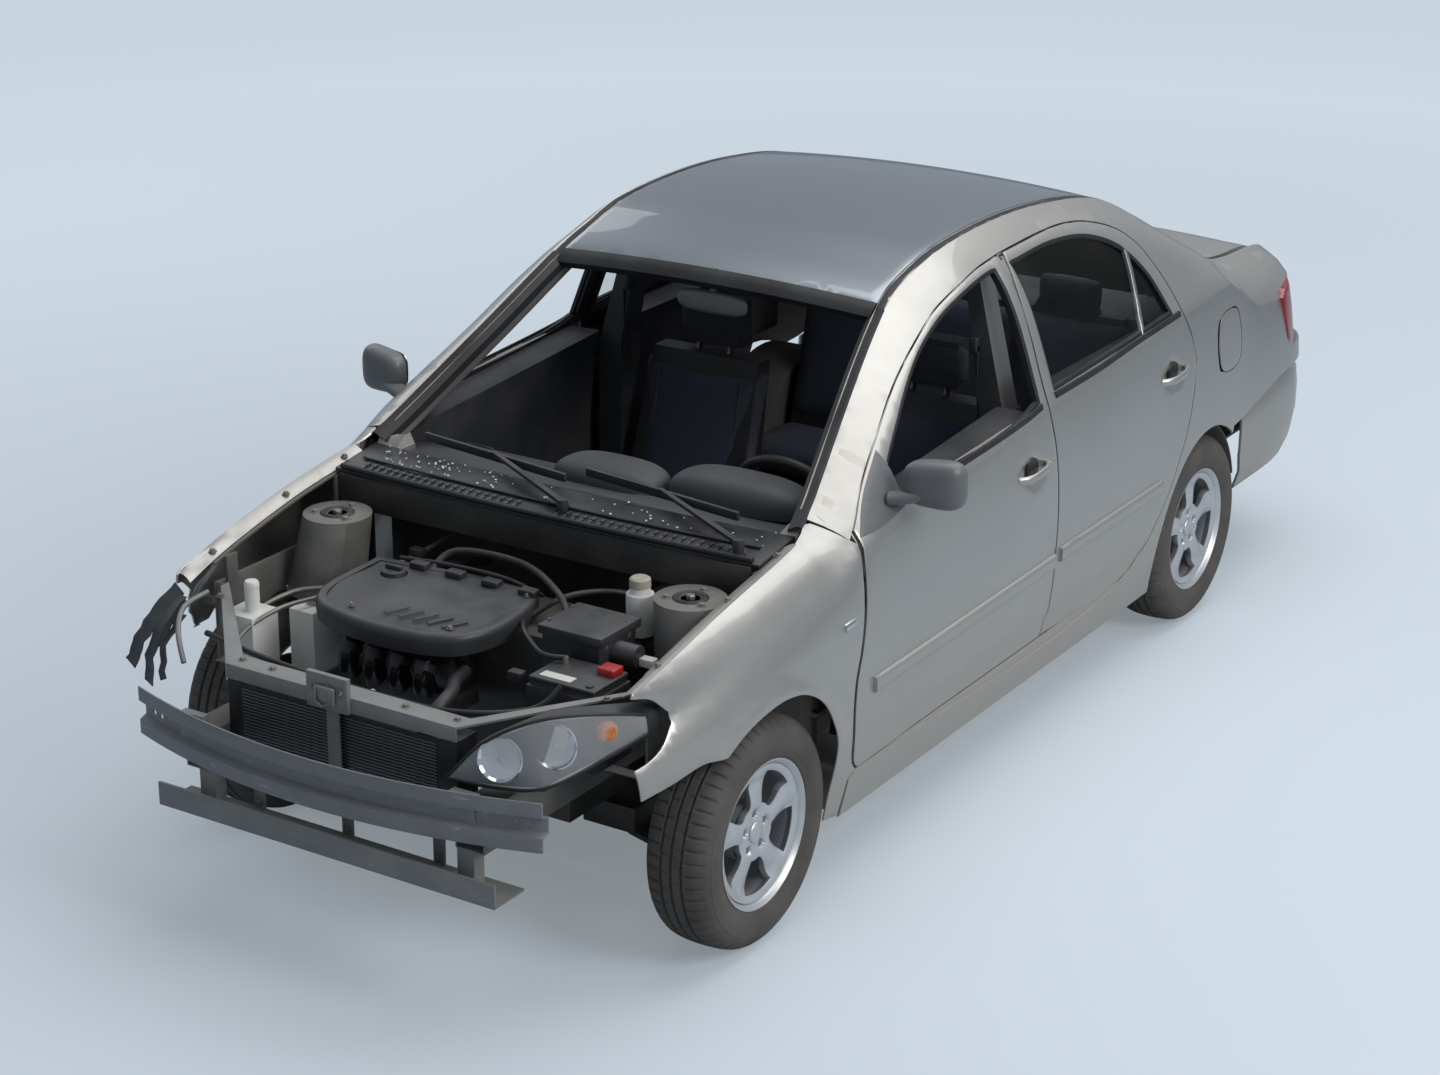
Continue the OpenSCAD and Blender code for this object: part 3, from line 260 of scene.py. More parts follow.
def paint_finish(name, colour, dust_level=1.0):
    paint = Finish(name, Metallic=0.45, IOR=1.45)
    x, y, z = paint.axes()
    cloud = paint.noise(2.2, 5.0, 0.6)
    fine = paint.noise(38.0, 4.0, 0.65)
    streak = paint.noise(1.0, 3.0, 0.6, paint.stretched(26.0, 26.0, 1.6))
    low = 1.0 - z.ramp(0.15, 0.75)
    up = paint.facing_up().ramp(0.45, 0.95)
    dust = ((low * 0.75 + up * 0.28 + 0.10) * (cloud * 0.9 + fine * 0.5) * dust_level * 1.35
            + streak.ramp(0.56, 0.74) * 0.10 * dust_level).clip()
    scratch = paint.noise(1.0, 2.0, 0.5, paint.stretched(4.0, 90.0, 150.0)).ramp(0.70, 0.76) * low
    flake = paint.cells(1500.0)
    tone = paint.blend(cloud.ramp(0.3, 0.7), colour, [c * 0.93 for c in colour])
    base = paint.blend(dust * 0.72, tone, (0.43, 0.40, 0.35))
    base = paint.blend(scratch * 0.5, base, (0.30, 0.29, 0.28))
    paint.bump(fine * 0.4 + cloud * 0.6, 0.0004, 0.35)
    return paint.set(Base_Color=base, Roughness=(0.30 + dust * 0.34 + flake * 0.05).clip(),
                     Metallic=(0.86 - dust * 0.45).clip(), Coat_Weight=(0.9 - dust * 0.7).clip())


silver = paint_finish("silver_paint", (0.49, 0.475, 0.445))


# ---------------------------------------------------------------------------
# The body's pressed surface. Two master lines, the shoulder in height and in
# plan, give the side, and a flat ellipse gives the rounded tail.
# ---------------------------------------------------------------------------
shoulder_height = [
    (-2.205, 0.650), (-2.050, 0.722), (-1.850, 0.795), (-1.650, 0.850), (-1.400, 0.903),
    (-1.150, 0.942), (-1.080, 0.958), (-0.980, 1.008), (-0.700, 1.178), (-0.378, 1.366),
    (-0.230, 1.416), (-0.080, 1.450), (0.233, 1.466), (0.537, 1.450), (0.864, 1.398),
    (1.100, 1.300), (1.350, 1.172), (1.580, 1.062), (1.700, 1.040), (1.970, 1.018), (2.205, 0.960)]
shoulder_plan = [
    (-2.205, 0.560), (-2.050, 0.640), (-1.850, 0.698), (-1.440, 0.712), (-1.150, 0.706),
    (-1.080, 0.695), (-0.378, 0.540), (-0.080, 0.535), (0.537, 0.540), (0.864, 0.552),
    (1.350, 0.596), (1.640, 0.628), (1.970, 0.618), (2.205, 0.560)]
half_width, tail_start, tail_end, tail_half = 0.850, 1.500, 2.205, 0.832


def smooth_line(table):
    """A curve through the table's points, with level-handed slopes."""
    place = np.array([p[0] for p in table])
    value = np.array([p[1] for p in table])
    rise = np.empty(len(table))
    for i in range(len(table)):
        a, b = max(0, i - 1), min(len(table) - 1, i + 1)
        rise[i] = (value[b] - value[a]) / (place[b] - place[a])

    def at(y):
        y = min(max(y, place[0]), place[-1])
        i = int(min(max(np.searchsorted(place, y, side="right") - 1, 0), len(place) - 2))
        h = place[i + 1] - place[i]
        t = (y - place[i]) / h
        return ((2 * t**3 - 3 * t * t + 1) * value[i] + (t**3 - 2 * t * t + t) * h * rise[i]
                + (3 * t * t - 2 * t**3) * value[i + 1] + (t**3 - t * t) * h * rise[i + 1])
    return at


rail_height = smooth_line(shoulder_height)
rail_plan = smooth_line(shoulder_plan)


def widest(y):
    if y > tail_start:
        t = min(1.0, (y - tail_start) / (tail_end - tail_start))
        return tail_half * max(0.0, 1 - t**5) ** 0.2
    return (half_width - 0.250 * max(0, (-1.0 - y) / 1.2) ** 2.6
            - 0.018 * max(0, (y - 0.6) / 0.9) ** 2)


def belt(y):
    a, b = 0.992 + 0.062 * y, rail_height(y) - 0.110
    low = min(a, b)
    return low - 0.012 * math.log(math.exp((low - a) / 0.012) + math.exp((low - b) / 0.012))


def side_x(y, z):
    wide, waist, top = widest(y), belt(y), rail_height(y)
    if z <= 0.560:
        return wide - 0.046 * ((0.560 - z) / 0.370) ** 2
    if z <= waist:
        return wide - 0.040 * ((z - 0.560) / (waist - 0.560)) ** 2.4
    s = min(1.15, (z - waist) / (top - waist))
    return wide - 0.040 + (rail_plan(y) - wide + 0.040) * (0.62 * s + 0.38 * s**5)


def roof_z(x, y):
    return rail_height(y) + 0.025 * (1 - (x / rail_plan(y)) ** 2)


def rounded(outline, step=0.014, corner=0.75, closed=True):
    """The outline with points every step along a curve through its own, sharp at its corners."""
    points = [Vector(p) for p in outline]
    n = len(points)
    result = []
    for i in range(n if closed else n - 1):
        p0, p1, p2, p3 = (points[(i + k) % n] for k in (-1, 0, 1, 2))
        if not closed:
            p0 = points[max(i - 1, 0)]
            p3 = points[min(i + 2, n - 1)]
        length = (p2 - p1).length
        if length < 1e-6:
            continue

        def handle(before, here, after):
            into, away = here - before, after - here
            if into.length < 1e-7 or away.length < 1e-7 or into.angle(away) > corner:
                return None
            return ((into.normalized() + away.normalized()) / 2)
        m1 = handle(p0, p1, p2) or (p2 - p1).normalized()
        m2 = handle(p1, p2, p3) or (p2 - p1).normalized()
        steps = max(1, round(length / step))
        for k in range(steps):
            t = k / steps
            result.append((2 * t**3 - 3 * t * t + 1) * p1 + (t**3 - 2 * t * t + t) * length * m1
                          + (3 * t * t - 2 * t**3) * p2 + (t**3 - t * t) * length * m2)
    if not closed:
        result.append(points[-1])
    return result


def inside(point, loop):
    """Whether a flat point lies in the loop."""
    x, y = point
    hit = False
    j = len(loop) - 1
    for i in range(len(loop)):
        (ax, ay), (bx, by) = loop[i], loop[j]
        if (ay > y) != (by > y) and x < (bx - ax) * (y - ay) / (by - ay) + ax:
            hit = not hit
        j = i
    return hit


def flat_mesh(outline, holes=(), step=0.03):
    """Points and triangles that fill a flat outline around its holes."""
    loops = [[tuple(p) for p in outline]] + [[tuple(p) for p in hole] for hole in holes]
    border = np.array([p for loop in loops for p in loop])
    points, edges = [Vector(p) for loop in loops for p in loop], []
    start = 0
    for loop in loops:
        edges += [(start + i, start + (i + 1) % len(loop)) for i in range(len(loop))]
        start += len(loop)
    low, high = border.min(0), border.max(0)
    for a in np.arange(low[0] + step / 2, high[0], step):
        for b in np.arange(low[1] + step / 2, high[1], step):
            if (np.min(np.hypot(border[:, 0] - a, border[:, 1] - b)) > step * 0.45
                    and inside((a, b), loops[0]) and not any(inside((a, b), h) for h in loops[1:])):
                points.append(Vector((a, b)))
    points, _, faces, *_ = geometry.delaunay_2d_cdt(points, edges, [], 1 if not holes else 0, 1e-6)
    kept = []
    for face in faces:
        middle = sum((points[i] for i in face), Vector((0, 0))) / len(face)
        if inside(middle, loops[0]) and not any(inside(middle, h) for h in loops[1:]):
            kept.append(face)
    return points, kept


def join(name, objects):
    """One object of several, at the origin."""
    bm = bmesh.new()
    for obj in objects:
        bm.from_mesh(obj.data)
    mesh = objects[0].data
    bm.to_mesh(mesh)
    bm.free()
    for obj in objects[1:]:
        bpy.data.objects.remove(obj)
    objects[0].name = mesh.name = name
    return objects[0]


def settle(obj):
    """Turns the object's modifiers into plain mesh."""
    graph = bpy.context.evaluated_depsgraph_get()
    graph.update()
    mesh = bpy.data.meshes.new_from_object(obj.evaluated_get(graph))
    obj.modifiers.clear()
    obj.data = mesh
    mesh.name = obj.name
    return obj


def soften(obj, angle=35):
    """Smooth shading that breaks at edges sharper than the angle."""
    obj.data.polygons.foreach_set("use_smooth", [True] * len(obj.data.polygons))
    obj.data.set_sharp_from_angle(angle=math.radians(angle))
    return obj


def pressing(name, outline, place, holes=(), step=0.03, wall=0.006, edge=0.0012, material=None):
    """A sheet-metal panel: flat outline and holes, bent by place(u, v), with a rolled edge."""
    points, faces = flat_mesh(outline, holes, step)
    obj = object_from(name, [place(*p) for p in points], faces)
    bm = bmesh.new()
    bm.from_mesh(obj.data)
    bmesh.ops.recalc_face_normals(bm, faces=bm.faces)
    middle = sum((f.calc_center_median() for f in bm.faces), Vector()) / len(bm.faces)
    if sum((f.calc_center_median() - Vector((0, middle.y * 0.6, 0.5))).dot(f.normal) * f.calc_area()
           for f in bm.faces) < 0:
        bmesh.ops.reverse_faces(bm, faces=bm.faces)
    bm.to_mesh(obj.data)
    bm.free()
    solid = obj.modifiers.new("wall", "SOLIDIFY")
    solid.thickness, solid.offset, solid.use_even_offset = wall, -1, False
    if edge:
        bevel = obj.modifiers.new("edge", "BEVEL")
        bevel.width, bevel.segments, bevel.limit_method = edge, 2, "ANGLE"
        bevel.angle_limit = math.radians(60)
        bevel.harden_normals = False
    if material:
        obj.data.materials.append(material)
    return soften(settle(obj), 40)


def on_side(depth=0.0, sign=1):
    return lambda y, z: (sign * (side_x(y, z) - depth), y, z)


# ---------------------------------------------------------------------------
# Bare front structure: galvanised and primed steel, scraped and dusty. The
# tie bar, crossmember and crash beam keep their stamped shapes.
# ---------------------------------------------------------------------------
def worn_steel(name, colour, bare, dust, wear=0.5, metal=0.2):
    steel = Finish(name)
    x, y, z = steel.axes()
    cloud = steel.noise(7.0, 5.0, 0.62)
    grain = steel.noise(90.0, 4.0, 0.6)
    scrape = steel.noise(1.0, 3.0, 0.6, steel.stretched(14.0, 70.0, 120.0))
    scuff = (scrape.ramp(0.60, 0.72) * cloud.ramp(0.35, 0.65) * wear).clip()
    dirt = (cloud.ramp(0.40, 0.75) * 0.55 + steel.facing_up().ramp(0.5, 1.0) * 0.30
            + grain.ramp(0.5, 0.8) * 0.15).clip()
    steel.bump(grain * 0.6 + scrape * 0.4, 0.0007, 0.45)
    base = steel.blend(dirt, colour, dust)
    return steel.set(Base_Color=steel.blend(scuff, base, bare), Metallic=(scuff * 0.7 + metal).clip(),
                     Roughness=(0.42 + dirt * 0.38).clip())


bar_steel = worn_steel("scuffed_bar_steel", (0.21, 0.21, 0.21), (0.42, 0.42, 0.41), (0.33, 0.32, 0.30))
beam_steel = worn_steel("crash_beam_steel", (0.20, 0.205, 0.21), (0.48, 0.48, 0.48), (0.30, 0.30, 0.29), 0.8)
grimy_steel = worn_steel("grimy_steel", (0.045, 0.043, 0.040), (0.16, 0.15, 0.14), (0.105, 0.095, 0.080), 0.3)
apron_paint = worn_steel("dusty_apron_paint", (0.15, 0.145, 0.135), (0.32, 0.31, 0.28), (0.26, 0.235, 0.20),
                         0.3)
floor_paint = worn_steel("underbody_paint", (0.12, 0.12, 0.118), (0.20, 0.19, 0.18), (0.17, 0.15, 0.13), 0.2)


def plastic(name, colour, dust=(0.16, 0.155, 0.148), rough=0.5, dusty=0.5, grain=0.4, gloss=0.0):
    """Grained black plastic with a film of dust on what faces up."""
    made = Finish(name, Coat_Weight=gloss)
    cloud = made.noise(6.0, 5.0, 0.6)
    pips = made.noise(420.0, 2.0, 0.5)
    film = ((made.facing_up().ramp(0.3, 1.0) * 0.6 + 0.15) * cloud.ramp(0.25, 0.75) * dusty).clip()
    made.bump(pips, 0.0003, grain)
    return made.set(Base_Color=made.blend(film, colour, dust), Roughness=(film * 0.3 + rough).clip())


black_plastic = plastic("black_plastic", (0.020, 0.020, 0.022))
cover_plastic = plastic("engine_cover_plastic", (0.030, 0.031, 0.034), rough=0.42, dusty=0.6)
fine_black = plastic("trim_black", (0.012, 0.012, 0.014), rough=0.4, dusty=0.3)


def refined(node, name, material, edge=0.0015, body="root", angle=35):
    """A CAD node's own shape, its triangles merged and its edges rolled over."""
    obj = bpy.data.objects.new(name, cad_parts[node].data.copy())
    scene.collection.objects.link(obj)
    obj.data.materials.clear()
    obj.data.materials.append(material)
    bm = bmesh.new()
    bm.from_mesh(obj.data)
    bmesh.ops.remove_doubles(bm, verts=bm.verts, dist=0.00005)
    bmesh.ops.dissolve_limit(bm, angle_limit=math.radians(1.0), verts=bm.verts, edges=bm.edges)
    for face in bm.faces:
        face.material_index = 0
    for edge_ in bm.edges:
        edge_.smooth = True
    bm.to_mesh(obj.data)
    bm.free()
    if "custom_normal" in obj.data.attributes:
        obj.data.attributes.remove(obj.data.attributes["custom_normal"])
    if edge:
        bevel = obj.modifiers.new("edge", "BEVEL")
        bevel.width, bevel.segments, bevel.limit_method = edge, 2, "ANGLE"
        bevel.angle_limit = math.radians(angle)
        settle(obj)
    soften(obj, angle)
    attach(obj, body)
    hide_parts(node)
    return obj


for node, material, edge in (
        ("inner_wings", apron_paint, 0.001), ("firewall", grimy_steel, 0.002),
        ("engine_block", grimy_steel, 0.004), ("front_subframe", grimy_steel, 0.003),
        ("rear_axle", grimy_steel, 0.002), ("exhaust", grimy_steel, 0.0), ("fuel_tank", black_plastic, 0.012),
        ("underbody", floor_paint, 0.002), ("back_panel", apron_paint, 0.002)):
    refined(node, node + "_shell", material, edge)
for side in ("left", "right"):
    refined(f"knuckle_{side}", f"knuckle_{side}_cast", grimy_steel, 0.0015, f"steer_{side}")


def closed_up(obj, merge=0.0, fill=False):
    """Merges a shell's doubled points, fills its open ends and turns its faces outwards."""
    bm = bmesh.new()
    bm.from_mesh(obj.data)
    if merge:
        bmesh.ops.remove_doubles(bm, verts=bm.verts, dist=merge)
    if fill:
        bmesh.ops.holes_fill(bm, edges=bm.edges, sides=0)
    bmesh.ops.recalc_face_normals(bm, faces=bm.faces)
    bm.to_mesh(obj.data)
    bm.free()
    return obj


def swept(name, path, section, material, out=(0, 0, 1), closed=False, caps=True):
    """A flat section (across, out) carried along a path of points. out may be one
    direction or a list with one for each point."""
    path = [Vector(p) for p in path]
    n, m = len(path), len(section)
    points = []
    for i, p in enumerate(path):
        before = path[i - 1] if i > 0 or closed else path[i]
        after = path[(i + 1) % n] if i < n - 1 or closed else path[i]
        along = (after - before).normalized()
        up_ = Vector(out[i]) if isinstance(out[0], (tuple, list, Vector)) else Vector(out)
        across = along.cross(up_).normalized()
        up_ = across.cross(along)
        points += [p + across * a + up_ * b for a, b in section]
    faces = []
    for i in range(n if closed else n - 1):
        k = (i + 1) % n
        for j in range(m):
            h = (j + 1) % m
            faces.append((i * m + j, i * m + h, k * m + h, k * m + j))
    if caps and not closed:
        faces += [tuple(range(m)), tuple((n - 1) * m + j for j in range(m - 1, -1, -1))]
    obj = object_from(name, points, faces)
    closed_up(obj)
    obj.data.materials.append(material)
    return soften(obj, 45)


def round_section(radius, sides=10, flat=1.0):
    return [(radius * math.cos(a), radius * flat * math.sin(a))
            for a in np.linspace(0, 2 * math.pi, sides, endpoint=False)]


def box_section(width, height, corner=0.002, low=0.0):
    """A rounded rectangle, width across, from low to low + height outwards."""
    w, c = width / 2, corner
    return [(-w, low), (w, low), (w, low + height - c), (w - c, low + height), (-w + c, low + height),
            (-w, low + height - c)]


def hose(name, knots, radius, material, sides=10, body="root"):
    """A pipe or hose through its knots, on one smooth curve."""
    path = [Vector(k) for k in knots]
    fine = []
    for i in range(len(path) - 1):
        p0, p1, p2, p3 = path[max(i - 1, 0)], path[i], path[i + 1], path[min(i + 2, len(path) - 1)]
        steps = max(4, int((p2 - p1).length / 0.012))
        for k in range(steps):
            t = k / steps
            fine.append(0.5 * ((2 * p1) + (p2 - p0) * t + (2 * p0 - 5 * p1 + 4 * p2 - p3) * t * t
                               + (3 * p1 - p0 - 3 * p2 + p3) * t**3))
    fine.append(path[-1])
    ups, here = [], Vector((0.3, 0.2, 1)).normalized()
    for i in range(len(fine)):
        along = (fine[min(i + 1, len(fine) - 1)] - fine[max(i - 1, 0)]).normalized()
        here = (here - along * here.dot(along)).normalized()
        ups.append(here.copy())
    obj = swept(name, fine, round_section(radius, sides), material, ups)
    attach(obj, body)
    return obj


def block(name, low, high, material, edge=0.004, taper=0.0, body="root", segments=3):
    """A moulded box with rounded edges, its top drawn in by taper."""
    (x0, y0, z0), (x1, y1, z1) = low, high
    t = taper
    points = [(x0, y0, z0), (x1, y0, z0), (x1, y1, z0), (x0, y1, z0),
              (x0 + t, y0 + t, z1), (x1 - t, y0 + t, z1), (x1 - t, y1 - t, z1), (x0 + t, y1 - t, z1)]
    obj = object_from(name, points, [(3, 2, 1, 0), (4, 5, 6, 7), (0, 1, 5, 4), (1, 2, 6, 5), (2, 3, 7, 6),
                                     (3, 0, 4, 7)])
    bevel = obj.modifiers.new("edge", "BEVEL")
    bevel.width, bevel.segments = edge, segments
    settle(obj)
    obj.data.materials.append(material)
    soften(obj, 40)
    if body:
        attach(obj, body)
    return obj


def disc(name, centre, axis, profile, material, segments=40, body="root"):
    """A turned part: profile is (radius, height along the axis) pairs."""
    turn = Vector(axis).to_track_quat("Z", "Y").to_matrix()
    points, faces = [], []
    n = len(profile)
    for i in range(segments):
        a = 2 * math.pi * i / segments
        for r, h in profile:
            points.append(Vector(centre) + turn @ Vector((r * math.cos(a), r * math.sin(a), h)))
    for i in range(segments):
        k = (i + 1) % segments
        faces += [(i * n + j, k * n + j, k * n + j + 1, i * n + j + 1) for j in range(n - 1)]
    obj = object_from(name, points, faces)
    closed_up(obj, 1e-6, fill=True)
    obj.data.materials.append(material)
    soften(obj, 35)
    if body:
        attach(obj, body)
    return obj


# ---------------------------------------------------------------------------
# Body sides: one pressing from the screen pillar over the doors to the tail,
# with sill and rear quarter, spot-welded to the floor and the roof.
# ---------------------------------------------------------------------------
front_shut = [(-1.006, 0.319), (-1.028, 0.343), (-1.044, 0.430), (-1.051, 0.516), (-1.042, 0.590),
              (-1.019, 0.652), (-0.990, 0.750), (-0.977, 0.819), (-0.968, 0.880), (-0.962, 0.919)]
upper_shut = [(-0.961, 0.950), (-0.878, 1.016), (-0.709, 1.118), (-0.510, 1.233), (-0.307, 1.324),
              (-0.133, 1.372), (0.0, 1.395), (0.109, 1.404), (0.141, 1.406), (0.425, 1.409),
              (0.560, 1.400), (0.686, 1.377), (0.816, 1.328), (0.880, 1.275), (0.906, 1.236),
              (0.945, 1.170), (0.967, 1.121), (0.985, 1.060)]
middle_shut = [(0.046, 0.319), (0.055, 0.337), (0.070, 0.424), (0.081, 0.565), (0.090, 0.680),
               (0.094, 0.789), (0.092, 0.890), (0.080, 0.985), (0.078, 1.060), (0.085, 1.150),
               (0.100, 1.298)]
rear_shut = [(1.027, 0.985), (1.056, 0.894), (1.033, 0.789), (0.981, 0.672), (0.925, 0.592),
             (0.866, 0.516), (0.800, 0.450), (0.730, 0.385), (0.665, 0.345), (0.593, 0.319)]
shut_gap = 0.008
axle_front, axle_rear, tyre_radius, arch_radius = -1.435, 1.165, 0.302, 0.338


def arc(centre, radius, start, end, count, squeeze=1.0):
    """Points round a circle, angles in degrees from +Y towards +Z."""
    return [(centre[0] + squeeze * radius * math.cos(math.radians(a)),
             centre[1] + radius * math.sin(math.radians(a))) for a in np.linspace(start, end, count)]


def inset(loop, gap):
    """The closed loop moved inwards by gap."""
    n = len(loop)
    area = sum(loop[i][0] * loop[(i + 1) % n][1] - loop[(i + 1) % n][0] * loop[i][1] for i in range(n))
    turn = 1 if area > 0 else -1
    moved = []
    for i in range(n):
        before, here, after = Vector(loop[i - 1]), Vector(loop[i]), Vector(loop[(i + 1) % n])
        a, b = (here - before).normalized(), (after - here).normalized()
        normal = Vector((-(a + b).y, (a + b).x)).normalized() * turn
        moved.append(here + normal * gap / max(0.5, math.cos(a.angle(b) / 2)))
    return moved


quarter_tail = 2.115
side_outline = ([(-1.046, 0.190), (0.846, 0.190)] + arc((axle_rear, tyre_radius), arch_radius, 199.3, 52, 24)
                + [(1.380, 0.590), (1.456, 0.596), (1.640, 0.632), (1.800, 0.657), (2.140, 0.660),
                   (2.128, 0.720), (1.890, 0.720), (1.840, 0.760), (1.800, 0.905), (1.830, 0.930),
                   (quarter_tail, 0.935)]
                + [(y, rail_height(y)) for y in np.linspace(quarter_tail, -1.030, 60)]
                + [(-0.984, 0.930)] + upper_shut + rear_shut + front_shut[:1] + [(-1.040, 0.300)])
flap_loop = rounded([(1.270, 0.800), (1.400, 0.800), (1.420, 0.820), (1.420, 0.950), (1.400, 0.970),
                     (1.270, 0.970), (1.250, 0.950), (1.250, 0.820)], 0.006, 1.2)
flap_hole_loop = [(p[0] - (0.011 if p[0] < 1.262 else 0.0), p[1]) for p in inset(flap_loop, -0.004)]
for name, sign in (("side_panel_left", 1), ("side_panel_right", -1)):
    holes = [flap_hole_loop] if sign > 0 else []
    panel = pressing(name, rounded(side_outline, 0.016, 0.5), on_side(0, sign), holes, 0.028, 0.006, 0.0012,
                     silver)
    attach(panel, "root")

flap = pressing("fuel_flap_skin", inset(flap_loop, 0.001), on_side(-0.0004), (), 0.02, 0.004, 0.001, silver)
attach(flap, "flap")
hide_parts("fuel_flap")


# ---------------------------------------------------------------------------
# Doors: a skin hemmed round its edge, with the window frame rolled into it, a
# soft crease low down, a rub strip and a handle in a round recess.
# ---------------------------------------------------------------------------
front_door_loop = front_shut + upper_shut[:8] + middle_shut[::-1]
rear_door_loop = upper_shut[8:] + rear_shut + middle_shut
front_pane = [(-0.735, 0.968), (-0.735, 1.052), (-0.680, 1.090), (-0.386, 1.272), (-0.140, 1.350),
              (0.0, 1.372), (0.062, 1.376), (0.040, 1.020), (-0.045, 0.998)]
rear_pane = [(0.140, 1.376), (0.425, 1.378), (0.640, 1.346), (0.775, 1.285), (0.868, 1.190),
             (0.925, 1.062), (0.700, 1.052), (0.128, 1.030)]
crease_z = 0.383


def smooth(t):
    t = min(1.0, max(0.0, t))
    return t * t * (3 - 2 * t)


def door_face(sign, handle_y, handle_z):
    """The door's outer surface with its crease and the dish behind the handle."""
    def place(y, z):
        x = side_x(y, z)
        fade = smooth((y + 0.95) / 0.25) * smooth((1.0 - y) / 0.25)
        x -= 0.006 * fade * smooth((crease_z + 0.02 - z) / 0.035)
        dish = ((y - handle_y) / 0.062) ** 2 + ((z - handle_z) / 0.034) ** 2
        if dish < 1:
            x -= 0.020 * (1 - dish) ** 0.6
        return sign * x, y, z
    return place


for side, sign in (("left", 1), ("right", -1)):
    for end, loop, pane, handle in (("front", front_door_loop, front_pane, (-0.053, 0.846)),
                                    ("rear", rear_door_loop, rear_pane, (0.885, 0.883))):
        outline = inset(rounded(loop, 0.014, 0.6), shut_gap / 2)
        hole = rounded(pane, 0.014, 0.8)
        skin = pressing(f"door_skin_{end}_{side}", outline, door_face(sign, *handle), [hole], 0.022, 0.006,
                        0.0015, silver)
        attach(skin, f"{end}_door_{side}")


# ---------------------------------------------------------------------------
# Front wings: thin pressings bolted along the engine bay. The right one is
# pulled out at its front, crumpled and torn along its lower edge.
# ---------------------------------------------------------------------------
wing_nose = [(-1.847, 0.788), (-1.790, 0.771), (-1.744, 0.728), (-1.744, 0.704), (-1.797, 0.653),
             (-1.846, 0.631), (-1.878, 0.624), (-1.868, 0.545), (-1.780, 0.560)]
wing_arch = [(-1.677, 0.580), (-1.606, 0.575), (-1.541, 0.614), (-1.457, 0.641), (-1.372, 0.650),
             (-1.298, 0.636), (-1.220, 0.587), (-1.166, 0.509), (-1.141, 0.450), (-1.137, 0.387),
             (-1.140, 0.300), (-1.135, 0.215)]
wing_back = [(-1.060, 0.200), (-1.048, 0.300)] + [(y - shut_gap, z) for y, z in front_shut] + [
    (-0.984, 0.930), (-1.035, 0.974)]
wing_top = [(y, rail_height(y)) for y in np.linspace(-1.045, -1.840, 26)]
torn_nose = [(-1.838, 0.772), (-1.800, 0.760), (-1.752, 0.722), (-1.748, 0.700), (-1.742, 0.690),
             (-1.722, 0.668), (-1.713, 0.640), (-1.692, 0.622), (-1.672, 0.585), (-1.640, 0.572)]


def wing_face(sign):
    def place(y, z):
        x = side_x(y, z)
        d = math.hypot((y - axle_front - 0.02) / 0.92, z - tyre_radius)
        x += 0.009 * smooth((0.400 - d) / 0.045) * smooth((z - 0.25) / 0.2)
        if sign < 0:
            pull = smooth((-1.42 - y) / 0.40)
            x += 0.030 * pull * smooth((0.86 - z) / 0.25)
            x += pull * 0.010 * math.sin(31 * y + 17 * z) * math.sin(23 * z + 2)
            z -= 0.010 * pull * smooth((0.80 - z) / 0.2)
            x = min(x, 0.842)
        return sign * x, y, z
    return place


for side, sign, nose in (("left", 1, wing_nose), ("right", -1, torn_nose)):
    outline = rounded(nose + wing_arch + wing_back + wing_top, 0.014, 0.6)
    wing = pressing(f"wing_skin_{side}", outline, wing_face(sign), (), 0.022, 0.005, 0.0012, silver)
    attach(wing, "root")
    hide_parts(f"front_wing_{side}")


def strip_between(name, stations, material, wall=0.0, smooth_angle=40):
    """A skin through rows of points, one row for each station."""
    rows = [list(map(tuple, row)) for row in stations]
    n = len(rows[0])
    faces = [(i * n + j, i * n + j + 1, (i + 1) * n + j + 1, (i + 1) * n + j)
             for i in range(len(rows) - 1) for j in range(n - 1)]
    obj = object_from(name, [p for row in rows for p in row], faces)
    if wall:
        solid = obj.modifiers.new("wall", "SOLIDIFY")
        solid.thickness, solid.offset = wall, 0
        settle(obj)
    obj.data.materials.append(material)
    return soften(obj, smooth_angle)


inner_paint = paint_finish("inner_body_paint", (0.50, 0.485, 0.45), 1.5)
for side, sign in (("left", 1), ("right", -1)):
    rows = []
    for y in np.linspace(-1.835, -1.120, 40):
        dip = 0.004 * math.sin(40 * y) if sign < 0 and y < -1.6 else 0
        x, z = rail_plan(y), rail_height(y)
        rows.append([(sign * (x + 0.003), y, z), (sign * (x - 0.010), y, z - 0.004 + dip),
                     (sign * (x - 0.024), y, z - 0.012 + dip), (sign * (x - 0.030), y, z - 0.016),
                     (sign * (x - 0.034), y, z - 0.018)])
    lip = strip_between(f"wing_flange_{side}", rows, inner_paint, 0.002)
    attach(lip, "root")


# ---------------------------------------------------------------------------
# Roof: one crowned skin between the ditch mouldings, opened round the rear
# window, and the black mouldings that cover its welded joints.
# ---------------------------------------------------------------------------
ditch = 0.0306
window_loop = rounded([(-0.445, 1.015), (0.445, 1.015), (0.525, 1.590), (-0.525, 1.590)], 0.03, 0.4)
window_loop = rounded([(-0.410, 1.015), (0.410, 1.015), (0.449, 1.046), (0.522, 1.560), (0.492, 1.590),
                       (-0.492, 1.590), (-0.522, 1.560), (-0.449, 1.046)], 0.02, 1.2)
left_edge = [((rail_plan(y) - ditch), y) for y in np.linspace(-0.388, 1.637, 70)]
roof_loop = ([(-x, y) for x, y in left_edge[::-1]]
             + [(x, -0.388 - 0.020 * (1 - (x / 0.51) ** 2)) for x in np.linspace(-0.49, 0.49, 24)] + left_edge
             + [(x, 1.637) for x in np.linspace(0.58, -0.58, 24)])
# Painted reflection: the roof takes the body paint recipe in a darker, bluer colour than the silver sides,
# standing in for the blue-grey surroundings it reflects.
roof_paint_painted_reflection = paint_finish("roof_paint_painted_reflection", (0.30, 0.325, 0.36), 0.35)
